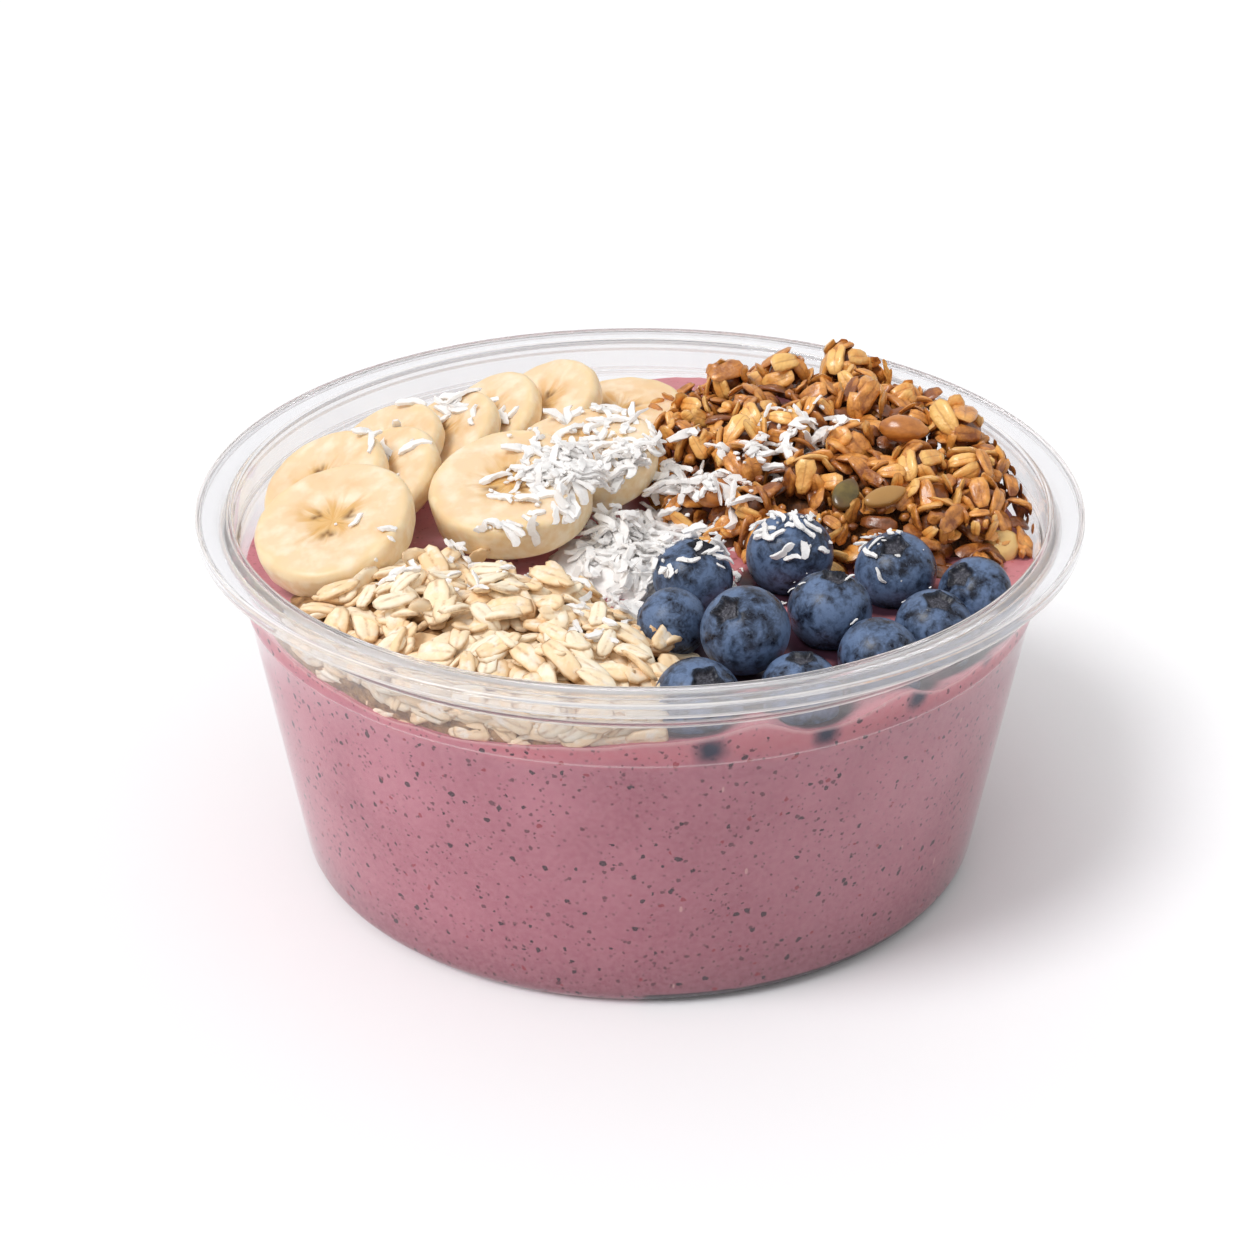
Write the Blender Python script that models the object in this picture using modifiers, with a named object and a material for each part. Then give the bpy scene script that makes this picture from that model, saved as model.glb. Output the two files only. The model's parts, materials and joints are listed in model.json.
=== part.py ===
"""Acai bowl: a clear round takeaway bowl filled with pink smoothie, topped with banana
slices, blueberries, granola, rolled oats and shredded coconut.

Metres, +Z up. The origin is the centre of the bowl's underside, and the front faces -Y.
"""
import math
import random
from collections import namedtuple

import bmesh
import bpy
from mathutils import Matrix, Vector
from mathutils.bvhtree import BVHTree

MM = 0.001
GAP = 0.35 * MM

# Bowl, turned about Z
TURN_STEPS = 40
FOOT_RADIUS = 65.3 * MM
WALL_SLOPE = 0.164
WALL_THICKNESS = 0.9 * MM
CORNER_RADIUS = 4.5 * MM
LEDGE_HEIGHT = 63.7 * MM
LEDGE_STEP = 0.8 * MM
RIM_HEIGHT = 71.2 * MM
RIM_RADIUS = 82.5 * MM
LIP_DEPTH = 2.6 * MM
RIM_ROUND = 0.6 * MM

# Smoothie: its level at rest, and the swells and hollows in its surface
SMOOTHIE_LEVEL = 58.6 * MM
SURFACE_RINGS = (8 * MM, 20 * MM, 32 * MM, 44 * MM, 55 * MM, 65 * MM)
Swell = namedtuple("Swell", "azimuth radius height width")
SWELLS = (
    Swell(80, 70 * MM, 4.6 * MM, 24 * MM),
    Swell(-122, 68 * MM, -2.5 * MM, 22 * MM),
    Swell(-75, 73 * MM, 3.4 * MM, 6 * MM),
    Swell(-54, 73 * MM, 3.2 * MM, 6 * MM),
    Swell(-84, 70 * MM, 1.6 * MM, 12 * MM),
    Swell(145, 21 * MM, 2.6 * MM, 15 * MM),
)

# Banana slices, each leaning on the one before: centre, radius, thickness, the angle its
# face tips from level, the direction it tips towards, and how deep it sinks in the smoothie
Slice = namedtuple("Slice", "x y radius thickness lean towards sink shreds")
SLICES = (
    Slice(-4.0, 54.5, 14.0, 6.5, 8, 208, 2.3, 0),
    Slice(-10.5, 22.5, 14.6, 7.0, 12, 232, 0.3, 6),
    Slice(-19.5, 50.0, 13.4, 5.5, 32, 205, 2.6, 0),
    Slice(-31.0, 45.0, 13.0, 5.5, 32, 205, 2.6, 1),
    Slice(-39.5, 35.5, 13.0, 5.5, 32, 205, 2.6, 1),
    Slice(-50.5, 30.5, 13.0, 5.2, 32, 208, 2.6, 0),
    Slice(-50.0, 13.5, 13.2, 5.2, 33, 211, 1.5, 2),
    Slice(-60.0, 10.5, 13.4, 5.5, 33, 211, 1.5, 0),
    Slice(-24.0, 1.0, 15.8, 8.0, 14, 243, 0.3, 8),
    Slice(-55.5, -14.5, 15.2, 7.0, 20, 233, 0.3, 0),
)
SLICE_SIDES = 16
SLICE_TAPER = 0.96
SLICE_EDGE = 0.9 * MM
SLICE_OVAL = 0.025
SLICE_LUMPS = 0.018
SEED_CORE = 0.42
SEED_DENT = 0.5 * MM

# Blueberries: centre, diameter, where the crown points, and how deep each sits in the smoothie
Berry = namedtuple("Berry", "x y diameter crown_azimuth crown_height sink shreds")
BERRIES = (
    Berry(9.5, -64.5, 15.4, -67, 59, 5.4, 0),
    Berry(27.0, -59.5, 14.0, 90, 88, 4.0, 0),
    Berry(41.0, -50.5, 15.2, 40, 20, 4.1, 0),
    Berry(51.5, -39.0, 14.2, -67, 77, 2.6, 0),
    Berry(60.0, -27.5, 13.8, -149, 51, 1.9, 0),
    Berry(5.5, -39.0, 13.4, 150, 15, 2.0, 0),
    Berry(9.5, -22.5, 15.2, -2, 70, 1.8, 3),
    Berry(33.5, -35.0, 15.6, 13, 83, 2.1, 2),
    Berry(27.5, -14.0, 16.6, 100, 30, 2.4, 4),
    Berry(46.5, -19.0, 15.4, -108, 69, 2.3, 3),
    Berry(18.0, -47.5, 16.2, -142, 51, 0.0, 0),
)
BERRY_SIDES = 12
BERRY_RINGS = 8
BERRY_FLATNESS = 0.93
CROWN_RISE = 0.03
CROWN_DEPTH = 0.26

# Heaps: the mound under each, with its half lengths and how lumpy it is
Mound = namedtuple("Mound", "x y height_centre along across rise turn lumps")
OATS = Mound(-30.0, -42.0, 57.0, 46.0, 28.0, 14.0, -33, 0.6)
GRANOLA = Mound(44.0, 33.0, 57.0, 50.0, 45.0, 18.0, 122, 1.6)
COCONUT = Mound(-3.0, -9.5, 58.0, 17.0, 12.0, 6.5, -25, 0.3)
MOUND_SIDES = 24
MOUND_RINGS = 10
STEEPEST = 0.25
SIGHT_HEIGHT = 200 * MM

# Loose pieces on the heaps, and shreds of coconut dusted over them
OAT_COUNT = 58
OAT_LENGTH = 8.6
OAT_SIDES = 7
OAT_TAPER = 0.85
OAT_TILT = 22
GRANOLA_COUNT = 73
GRANOLA_LENGTH = 12.0
GRANOLA_FLAKES = 0.4
GRANOLA_LUMPS = 0.15
GRANOLA_TILT = 40
DRIFT_COUNT = 18
DRIFT_TILT = 20
PIECE_LIFT = 0.3 * MM
SHRED_LENGTH = 6.0
SHRED_WIDTH = 1.2
SHRED_THICKNESS = 1.0
SHRED_LIFT = 0.1 * MM
SHRED_TILT = 12
DUST_REACH = 0.7
OATS_DUST = 4
GRANOLA_DUST = 6
SEED = 17

COLOURS = {
    "bowl": ((0.86, 0.87, 0.88, 1.0), 0.22),
    "smoothie": ((0.48, 0.19, 0.25, 1.0), 0.35),
    "banana": ((0.92, 0.80, 0.52, 1.0), 0.45),
    "blueberry": ((0.035, 0.055, 0.12, 1.0), 0.50),
    "granola": ((0.47, 0.22, 0.07, 1.0), 0.55),
    "oats": ((0.74, 0.54, 0.32, 1.0), 0.75),
    "coconut": ((0.93, 0.91, 0.89, 1.0), 0.80),
}


def clear_scene():
    for obj in list(bpy.data.objects):
        bpy.data.objects.remove(obj)


def material(name):
    """The plain finish of one ingredient, made once."""
    made = bpy.data.materials.get(name)
    if made:
        return made
    colour, roughness = COLOURS[name]
    made = bpy.data.materials.new(name)
    made.use_nodes = True
    shader = made.node_tree.nodes["Principled BSDF"]
    shader.inputs["Base Color"].default_value = colour
    shader.inputs["Roughness"].default_value = roughness
    shader.inputs["Metallic"].default_value = 0.0
    return made


def add_object(name, mesh, ingredient, collection):
    obj = bpy.data.objects.new(name, mesh)
    collection.objects.link(obj)
    mesh.materials.clear()
    mesh.materials.append(material(ingredient))
    return obj


def to_mesh(bm, name):
    bmesh.ops.recalc_face_normals(bm, faces=bm.faces)
    mesh = bpy.data.meshes.new(name)
    bm.to_mesh(mesh)
    bm.free()
    return mesh


def applied(obj):
    """Turns an object with modifiers into a plain mesh object."""
    depsgraph = bpy.context.evaluated_depsgraph_get()
    mesh = bpy.data.meshes.new_from_object(obj.evaluated_get(depsgraph))
    obj.modifiers.clear()
    obj.data = mesh
    return obj


def combine(obj, operation, meshes, solver="EXACT"):
    """Cuts or joins obj with every mesh in one Boolean, then drops the helpers."""
    helpers = bpy.data.collections.new("helpers")
    bpy.context.scene.collection.children.link(helpers)
    for mesh in meshes:
        helpers.objects.link(bpy.data.objects.new("helper", mesh))
    boolean = obj.modifiers.new("combine", "BOOLEAN")
    boolean.operation = operation
    boolean.operand_type = "COLLECTION"
    boolean.collection = helpers
    boolean.solver = solver
    bpy.context.view_layer.update()
    applied(obj)
    for helper in list(helpers.objects):
        bpy.data.objects.remove(helper)
    bpy.data.collections.remove(helpers)
    return obj


def keep_main_body(obj):
    """Drops loose scraps, flat folds and sealed hollows, so that one closed body stays."""
    bm = bmesh.new()
    bm.from_mesh(obj.data)
    bmesh.ops.remove_doubles(bm, verts=bm.verts, dist=0.002 * MM)
    bmesh.ops.triangulate(bm, faces=bm.faces)
    by_corners = {}
    for face in bm.faces:
        by_corners.setdefault(frozenset(face.verts), []).append(face)
    folded = [face for faces in by_corners.values() if len(faces) > 1 for face in faces]
    bmesh.ops.delete(bm, geom=folded, context="FACES")
    unseen = set(bm.faces)
    bodies = []
    while unseen:
        seed = unseen.pop()
        body = [seed]
        edge_of_body = [seed]
        while edge_of_body:
            face = edge_of_body.pop()
            for edge in face.edges:
                for other in edge.link_faces:
                    if other in unseen:
                        unseen.remove(other)
                        body.append(other)
                        edge_of_body.append(other)
        bodies.append(body)
    bodies.sort(key=lambda body: sum(face.calc_area() for face in body))
    for body in bodies[:-1]:
        bmesh.ops.delete(bm, geom=body, context="FACES")
    loose = [v for v in bm.verts if not v.link_faces]
    bmesh.ops.delete(bm, geom=loose, context="VERTS")
    bm.to_mesh(obj.data)
    bm.free()
    return obj


def grown(mesh, distance):
    """A copy of a closed mesh with every face moved out by a distance."""
    bm = bmesh.new()
    bm.from_mesh(mesh)
    bm.normal_update()
    moves = [v.normal * (distance * v.calc_shell_factor()) for v in bm.verts]
    for v, move in zip(bm.verts, moves):
        v.co += move
    copy = bpy.data.meshes.new(mesh.name + "_grown")
    bm.to_mesh(copy)
    bm.free()
    return copy


def moved(mesh, matrix):
    copy = mesh.copy()
    copy.transform(matrix)
    return copy


def tree(mesh):
    return BVHTree.FromPolygons([v.co for v in mesh.vertices], [tuple(p.vertices) for p in mesh.polygons])


def arc(centre, radius, start, end, steps):
    """Points (r, z) along an arc, with angles in degrees from +r towards +z."""
    points = []
    for i in range(steps + 1):
        angle = math.radians(start + (end - start) * i / steps)
        points.append((centre[0] + radius * math.cos(angle), centre[1] + radius * math.sin(angle)))
    return points


WALL_ANGLE = math.degrees(math.atan(WALL_SLOPE))
WALL_ACROSS = WALL_THICKNESS / math.cos(math.radians(WALL_ANGLE))


def outer_radius(z):
    return FOOT_RADIUS + WALL_SLOPE * z


def inner_radius(z):
    return outer_radius(z) - WALL_ACROSS


def corner_centre():
    """Centre of the bend between the floor and the wall."""
    tip = CORNER_RADIUS * (1 - math.sin(math.radians(WALL_ANGLE)))
    return (outer_radius(tip) - CORNER_RADIUS * math.cos(math.radians(WALL_ANGLE)), CORNER_RADIUS)


def turned(name, profile, ingredient, collection):
    """A closed body turned from a profile that ends on the axis at both ends."""
    bm = bmesh.new()
    points = [bm.verts.new((r, 0, z)) for r, z in profile]
    for a, b in zip(points, points[1:]):
        bm.edges.new((a, b))
    mesh = bpy.data.meshes.new(name)
    bm.to_mesh(mesh)
    bm.free()
    obj = add_object(name, mesh, ingredient, collection)
    screw = obj.modifiers.new("turn", "SCREW")
    screw.axis = "Z"
    screw.angle = math.tau
    screw.steps = TURN_STEPS
    screw.render_steps = TURN_STEPS
    screw.use_merge_vertices = True
    screw.merge_threshold = 0.01 * MM
    return obj


def make_bowl(collection):
    """Thin wall on a flat floor, a ledge near the top, and a rim with a turned-down lip."""
    t = WALL_THICKNESS
    centre = corner_centre()
    collar_in = inner_radius(LEDGE_HEIGHT) + LEDGE_STEP
    collar_out = collar_in + t
    ledge_top = LEDGE_HEIGHT + LEDGE_STEP
    top = RIM_HEIGHT
    profile = [(0, t)]
    profile += arc(centre, CORNER_RADIUS - t, -90, -WALL_ANGLE, 3)
    profile += [(inner_radius(LEDGE_HEIGHT), LEDGE_HEIGHT), (collar_in, ledge_top), (collar_in, top - RIM_ROUND)]
    profile += [(collar_in + RIM_ROUND, top), (RIM_RADIUS - RIM_ROUND, top), (RIM_RADIUS, top - RIM_ROUND)]
    profile += [(RIM_RADIUS, top - LIP_DEPTH), (RIM_RADIUS - t, top - LIP_DEPTH), (RIM_RADIUS - t, top - t)]
    profile += [(collar_out, top - t), (collar_out, ledge_top - t / 2)]
    profile += [(outer_radius(LEDGE_HEIGHT - t / 2), LEDGE_HEIGHT - t / 2)]
    profile += arc(centre, CORNER_RADIUS, -WALL_ANGLE, -90, 3)
    profile += [(0, 0)]
    return turned("bowl", profile, "bowl", collection)


def around(azimuth, radius):
    angle = math.radians(azimuth)
    return Vector((radius * math.cos(angle), radius * math.sin(angle)))


def level(x, y):
    """Height of the smoothie's surface before anything is pressed into it."""
    height = SMOOTHIE_LEVEL
    for swell in SWELLS:
        off = (Vector((x, y)) - around(swell.azimuth, swell.radius)).length / swell.width
        height += swell.height * math.exp(-off * off)
    return height


def make_smoothie(collection):
    """Fills the bowl up to its wavy level, a gap inside the wall."""
    t = WALL_THICKNESS + GAP
    profile = [(0, SMOOTHIE_LEVEL)]
    profile += [(r, SMOOTHIE_LEVEL) for r in SURFACE_RINGS]
    profile += [(inner_radius(SMOOTHIE_LEVEL) - GAP, SMOOTHIE_LEVEL)]
    profile += arc(corner_centre(), CORNER_RADIUS - t, -WALL_ANGLE, -90, 2)
    profile += [(0, t)]
    profile.reverse()
    obj = applied(turned("smoothie", profile, "smoothie", collection))
    for v in obj.data.vertices:
        if v.co.z > SMOOTHIE_LEVEL - MM:
            z = level(v.co.x, v.co.y)
            r = math.hypot(v.co.x, v.co.y)
            if r > SURFACE_RINGS[-1] + MM:
                scale = (inner_radius(z) - GAP) / r
                v.co.x *= scale
                v.co.y *= scale
            v.co.z = z
    bm = bmesh.new()
    bm.from_mesh(obj.data)
    bmesh.ops.remove_doubles(bm, verts=bm.verts, dist=0.01 * MM)
    bmesh.ops.recalc_face_normals(bm, faces=bm.faces)
    bm.to_mesh(obj.data)
    bm.free()
    return obj


def slice_mesh(spec, number):
    """A banana slice: a slightly uneven disc with rounded edges and a dented seed core."""
    radius = spec.radius * MM
    bm = bmesh.new()
    bmesh.ops.create_cone(bm, cap_ends=True, segments=SLICE_SIDES, radius1=radius * SLICE_TAPER,
                          radius2=radius, depth=spec.thickness * MM)
    rims = [e for e in bm.edges if any(len(f.verts) == SLICE_SIDES for f in e.link_faces)]
    bmesh.ops.bevel(bm, geom=rims, offset=SLICE_EDGE, segments=1, profile=0.5, affect="EDGES")
    face = max(bm.faces, key=lambda f: f.calc_center_median().z)
    bmesh.ops.inset_region(bm, faces=[face], thickness=radius * (1 - SEED_CORE) - SLICE_EDGE, depth=0)
    for v in face.verts:
        v.co.z -= SEED_DENT
    for v in bm.verts:
        angle = math.atan2(v.co.y, v.co.x)
        oval = SLICE_OVAL * math.cos(2 * angle + number)
        lumps = SLICE_LUMPS * math.cos(3 * angle + 2.3 * number)
        v.co.x *= 1 + oval + lumps
        v.co.y *= 1 + oval + lumps
    return to_mesh(bm, "banana")


def leaning(lean, towards, turn=0.0):
    """Turns level things so that they tip towards an azimuth, in degrees."""
    axis = around(towards + 90, 1.0).to_3d()
    return Matrix.Rotation(math.radians(lean), 4, axis) @ Matrix.Rotation(math.radians(turn), 4, "Z")


def berry_mesh(spec):
    """A blueberry: a slightly flat ball with a crown dented in at its end."""
    radius = spec.diameter * MM / 2
    bm = bmesh.new()
    bmesh.ops.create_uvsphere(bm, u_segments=BERRY_SIDES, v_segments=BERRY_RINGS, radius=radius)
    pole = max(bm.verts, key=lambda v: v.co.z)
    crown = [e.other_vert(pole) for e in pole.link_edges]
    for v in bm.verts:
        v.co.z *= BERRY_FLATNESS
    for v in crown:
        v.co.z += radius * CROWN_RISE
    pole.co.z -= radius * CROWN_DEPTH
    mesh = to_mesh(bm, "blueberry")
    mesh.transform(leaning(90 - spec.crown_height, spec.crown_azimuth))
    return mesh


def settled(mesh, x, y, floors, start=105 * MM, step=0.2 * MM):
    """Lowers a mesh at (x, y) until the next step would touch what lies below."""
    placed = moved(mesh, Matrix.Translation((x, y, start)))
    faces = [tuple(p.vertices) for p in placed.polygons]
    points = [v.co.copy() for v in placed.vertices]
    lowered = 0
    while lowered < start:
        lowered += step
        lower = BVHTree.FromPolygons([p - Vector((0, 0, lowered)) for p in points], faces)
        if any(lower.overlap(floor) for floor in floors):
            break
    placed.transform(Matrix.Translation((0, 0, step - lowered)))
    return placed


def oat_piece(rng, length=OAT_LENGTH):
    """A rolled oat flake: a thin oval with a few sides."""
    size = length * rng.uniform(0.8, 1.15) * MM
    bm = bmesh.new()
    bmesh.ops.create_cone(bm, cap_ends=True, segments=OAT_SIDES, radius1=size / 2 * OAT_TAPER,
                          radius2=size / 2, depth=rng.uniform(1.0, 1.5) * MM)
    bmesh.ops.scale(bm, vec=(1, rng.uniform(0.58, 0.78), 1), verts=bm.verts)
    return to_mesh(bm, "flake")


def granola_piece(rng, length=GRANOLA_LENGTH):
    """A piece of granola: a lumpy cluster, or a toasted flake."""
    if rng.random() < GRANOLA_FLAKES:
        return oat_piece(rng, length)
    bm = bmesh.new()
    bmesh.ops.create_icosphere(bm, subdivisions=1, radius=length / 2 * MM)
    size = (rng.uniform(0.7, 1.15), rng.uniform(0.55, 0.95), rng.uniform(0.45, 0.7))
    bmesh.ops.scale(bm, vec=size, verts=bm.verts)
    for v in bm.verts:
        v.co *= rng.uniform(1 - GRANOLA_LUMPS, 1 + GRANOLA_LUMPS)
    return to_mesh(bm, "cluster")


def shred_piece(rng):
    """A shred of coconut: a thin strip with square ends."""
    bm = bmesh.new()
    bmesh.ops.create_cube(bm, size=MM)
    size = (SHRED_LENGTH * rng.uniform(0.6, 1.2), SHRED_WIDTH * rng.uniform(0.8, 1.3), SHRED_THICKNESS)
    bmesh.ops.scale(bm, vec=size, verts=bm.verts)
    return to_mesh(bm, "shred")


def spiral(count, along, across):
    """Evenly spread places over an oval, from a sunflower spiral."""
    golden = math.pi * (3 - math.sqrt(5))
    for i in range(count):
        reach = math.sqrt((i + 0.5) / count)
        angle = i * golden
        yield Vector((along * reach * math.cos(angle), across * reach * math.sin(angle)))


def lay_pieces(ground, places, make_piece, rng, obstacles, lift, tilt):
    """Lays pieces on a surface at plan places, and skips any that would cross a neighbour."""
    surface = tree(ground)
    above = Vector((0, 0, SIGHT_HEIGHT))
    down = Vector((0, 0, -1))
    laid = []
    for place in places:
        hit, normal, _, _ = surface.ray_cast(place.to_3d() + above, down)
        piece = make_piece(rng)
        turn = rng.uniform(0, 360)
        lean = rng.uniform(0, tilt)
        towards = rng.uniform(0, 360)
        if hit is None or normal.z < STEEPEST:
            continue
        upright = Vector((0, 0, 1)).rotation_difference(normal).to_matrix().to_4x4()
        spin = leaning(lean, towards, turn)
        piece.transform(Matrix.Translation(hit + normal * lift) @ upright @ spin)
        outline = tree(piece)
        if any(outline.overlap(obstacle) for obstacle in obstacles):
            continue
        laid.append(piece)
    return laid


def mound_mesh(mound, rng):
    """A domed, lumpy oval that a heap is built on."""
    bm = bmesh.new()
    bmesh.ops.create_uvsphere(bm, u_segments=MOUND_SIDES, v_segments=MOUND_RINGS, radius=MM)
    bmesh.ops.scale(bm, vec=(mound.along, mound.across, mound.rise), verts=bm.verts)
    for v in bm.verts:
        v.co += v.co.normalized() * (mound.lumps * rng.uniform(-1, 1) * MM)
    mesh = to_mesh(bm, "mound")
    centre = Vector((mound.x, mound.y, mound.height_centre)) * MM
    mesh.transform(Matrix.Translation(centre) @ Matrix.Rotation(math.radians(mound.turn), 4, "Z"))
    return mesh


def cavity_mesh():
    """The room inside the bowl, a gap in from its wall, open well above the rim."""
    low = 40 * MM
    high = 120 * MM
    profile = [(0, high), (inner_radius(LEDGE_HEIGHT) - GAP, high)]
    profile += [(inner_radius(LEDGE_HEIGHT) - GAP, LEDGE_HEIGHT), (inner_radius(low) - GAP, low), (0, low)]
    profile.reverse()
    scratch = bpy.data.collections.new("cavity")
    bpy.context.scene.collection.children.link(scratch)
    obj = applied(turned("cavity", profile, "smoothie", scratch))
    bm = bmesh.new()
    bm.from_mesh(obj.data)
    bmesh.ops.remove_doubles(bm, verts=bm.verts, dist=0.01 * MM)
    mesh = to_mesh(bm, "cavity")
    bpy.data.objects.remove(obj)
    bpy.data.collections.remove(scratch)
    return mesh


def raised_floor(smoothie_blank):
    """The smoothie's surface a gap higher, widened past the wall, to cut a heap's underside."""
    floor = moved(smoothie_blank, Matrix.Translation((0, 0, GAP)))
    for v in floor.vertices:
        r = math.hypot(v.co.x, v.co.y)
        if r > SURFACE_RINGS[-1] + MM:
            v.co.x *= (r + 2 * MM) / r
            v.co.y *= (r + 2 * MM) / r
    return floor


def heap_places(mound, count):
    turn = Matrix.Rotation(math.radians(mound.turn), 2)
    centre = Vector((mound.x, mound.y))
    return [(centre + turn @ spot) * MM for spot in spiral(count, mound.along, mound.across)]


def make_heap(name, mound, rng, neighbours, smoothie_blank, collection):
    """The bare core of a heap, shaped to the bowl, the smoothie and the toppings."""
    core = add_object(name, mound_mesh(mound, rng), name, collection)
    combine(core, "INTERSECT", [cavity_mesh()])
    combine(core, "DIFFERENCE", [raised_floor(smoothie_blank)] + [grown(mesh, GAP) for mesh in neighbours])
    return keep_main_body(core)


def fuse(obj, pieces):
    """Joins pieces to the body they lie on in one Boolean union."""
    if pieces:
        combine(obj, "UNION", pieces)
        keep_main_body(obj)
    return obj


def dust(obj, count, rng, obstacles):
    """Fuses a few coconut shreds to the top of a topping."""
    low, high = bounds(obj.data)
    middle = (low + high) / 2
    half = (high - low) / 2
    places = [middle.to_2d() + spot for spot in spiral(count, half.x * DUST_REACH, half.y * DUST_REACH)]
    return fuse(obj, lay_pieces(obj.data, places, shred_piece, rng, obstacles, SHRED_LIFT, SHRED_TILT))


def bounds(mesh):
    low = Vector([min(v.co[i] for v in mesh.vertices) for i in range(3)])
    high = Vector([max(v.co[i] for v in mesh.vertices) for i in range(3)])
    return low, high


def main():
    clear_scene()
    rng = random.Random(SEED)
    collection = bpy.data.collections.new("acai_bowl")
    bpy.context.scene.collection.children.link(collection)

    bowl = make_bowl(collection)
    smoothie = make_smoothie(collection)
    smoothie_blank = smoothie.data.copy()
    bpy.context.view_layer.update()
    depsgraph = bpy.context.evaluated_depsgraph_get()
    bowl_grown = tree(grown(bpy.data.meshes.new_from_object(bowl.evaluated_get(depsgraph)), GAP))

    toppings = []
    lying = [bowl_grown]
    for number, spec in enumerate(SLICES, 1):
        floor = tree(moved(smoothie_blank, Matrix.Translation((0, 0, -spec.sink * MM))))
        mesh = slice_mesh(spec, number)
        mesh.transform(leaning(spec.lean, spec.towards))
        mesh = settled(mesh, spec.x * MM, spec.y * MM, lying + [floor])
        lying.append(tree(grown(mesh, GAP)))
        toppings.append((add_object("banana_%d" % number, mesh, "banana", collection), spec.shreds))
    for number, spec in enumerate(BERRIES, 1):
        floor = tree(moved(smoothie_blank, Matrix.Translation((0, 0, -spec.sink * MM))))
        mesh = settled(berry_mesh(spec), spec.x * MM, spec.y * MM, lying + [floor])
        lying.append(tree(grown(mesh, GAP)))
        toppings.append((add_object("blueberry_%d" % number, mesh, "blueberry", collection), spec.shreds))

    bare = [obj.data.copy() for obj, _ in toppings]
    combine(smoothie, "DIFFERENCE", [grown(mesh, GAP) for mesh in bare])
    keep_main_body(smoothie)

    clear = [tree(grown(mesh, GAP)) for mesh in bare]
    for index, (obj, shreds) in enumerate(toppings):
        if shreds:
            others = clear[:index] + clear[index + 1:] + [bowl_grown]
            dust(obj, shreds, rng, others)
            clear[index] = tree(grown(obj.data, GAP))

    obstacles = clear + [bowl_grown, tree(moved(smoothie_blank, Matrix.Translation((0, 0, GAP))))]
    dusted = [obj.data for obj, _ in toppings]
    cores = []
    for name, mound, count, piece, tilt, shreds in (
            ("oats", OATS, OAT_COUNT, oat_piece, OAT_TILT, OATS_DUST),
            ("granola", GRANOLA, GRANOLA_COUNT, granola_piece, GRANOLA_TILT, GRANOLA_DUST),
            ("coconut", COCONUT, DRIFT_COUNT, shred_piece, DRIFT_TILT, 0)):
        before = [other.data for other in cores]
        heap = make_heap(name, mound, rng, dusted + before, smoothie_blank, collection)
        places = heap_places(mound, count)
        fuse(heap, lay_pieces(heap.data, places, piece, rng, obstacles, PIECE_LIFT, tilt))
        dust(heap, shreds, rng, obstacles)
        cores.append(heap)
        obstacles.append(tree(grown(heap.data, GAP)))


main()
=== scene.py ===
"""Looks of an acai bowl: a clear takeaway bowl of pink smoothie topped with banana slices,
blueberries, granola, rolled oats and shredded coconut, on a plain pale stage.

Metres, +Z up. The front of the bowl faces -Y. Lengths named in millimetres are times MM.
"""
import json
import random
from collections import namedtuple
from math import acos, atan, atan2, copysign, cos, degrees, exp, floor, hypot, pi, radians, sin, sqrt, tau

import bmesh
import bpy
import numpy as np
from bpy.props import FloatProperty, FloatVectorProperty, IntProperty, PointerProperty
from mathutils import Matrix, Vector, noise
from mathutils.bvhtree import BVHTree

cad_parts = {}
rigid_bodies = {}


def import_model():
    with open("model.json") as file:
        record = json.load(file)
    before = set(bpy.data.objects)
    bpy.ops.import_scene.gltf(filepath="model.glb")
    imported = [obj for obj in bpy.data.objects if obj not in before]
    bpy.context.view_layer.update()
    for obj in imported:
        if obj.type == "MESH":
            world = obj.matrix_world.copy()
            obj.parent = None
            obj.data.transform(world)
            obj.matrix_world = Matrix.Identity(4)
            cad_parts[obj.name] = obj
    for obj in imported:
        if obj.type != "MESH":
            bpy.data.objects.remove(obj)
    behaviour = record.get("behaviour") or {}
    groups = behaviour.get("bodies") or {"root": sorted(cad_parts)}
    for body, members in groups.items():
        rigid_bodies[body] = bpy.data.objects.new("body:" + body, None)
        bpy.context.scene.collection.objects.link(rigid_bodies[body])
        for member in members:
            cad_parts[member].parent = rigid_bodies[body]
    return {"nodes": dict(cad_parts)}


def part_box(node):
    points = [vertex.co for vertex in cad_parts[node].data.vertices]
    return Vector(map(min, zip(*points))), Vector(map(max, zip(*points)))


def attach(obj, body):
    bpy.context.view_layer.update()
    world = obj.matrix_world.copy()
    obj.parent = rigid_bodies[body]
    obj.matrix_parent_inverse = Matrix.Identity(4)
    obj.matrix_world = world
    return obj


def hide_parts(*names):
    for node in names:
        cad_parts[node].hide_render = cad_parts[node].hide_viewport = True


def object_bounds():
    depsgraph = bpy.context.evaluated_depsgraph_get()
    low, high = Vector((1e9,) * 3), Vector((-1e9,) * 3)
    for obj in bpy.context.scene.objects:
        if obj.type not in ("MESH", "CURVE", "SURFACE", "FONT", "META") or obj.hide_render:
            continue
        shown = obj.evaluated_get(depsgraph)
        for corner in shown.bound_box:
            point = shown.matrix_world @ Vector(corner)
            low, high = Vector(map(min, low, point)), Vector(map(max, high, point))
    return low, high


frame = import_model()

bl_info = {
    "name": "Acai Bowl",
    "version": (1, 0, 0),
    "blender": (4, 5, 0),
    "location": "View3D > Sidebar > Acai Bowl",
    "description": "Builds a takeaway acai bowl with its toppings and the stage it stands on",
    "category": "Object",
}

CAD_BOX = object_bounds()
MM = 0.001
GOLDEN = pi * (3 - sqrt(5))
UP = Vector((0, 0, 1))
DOWN = Vector((0, 0, -1))
SIGHT_HEIGHT = 200 * MM

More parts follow.
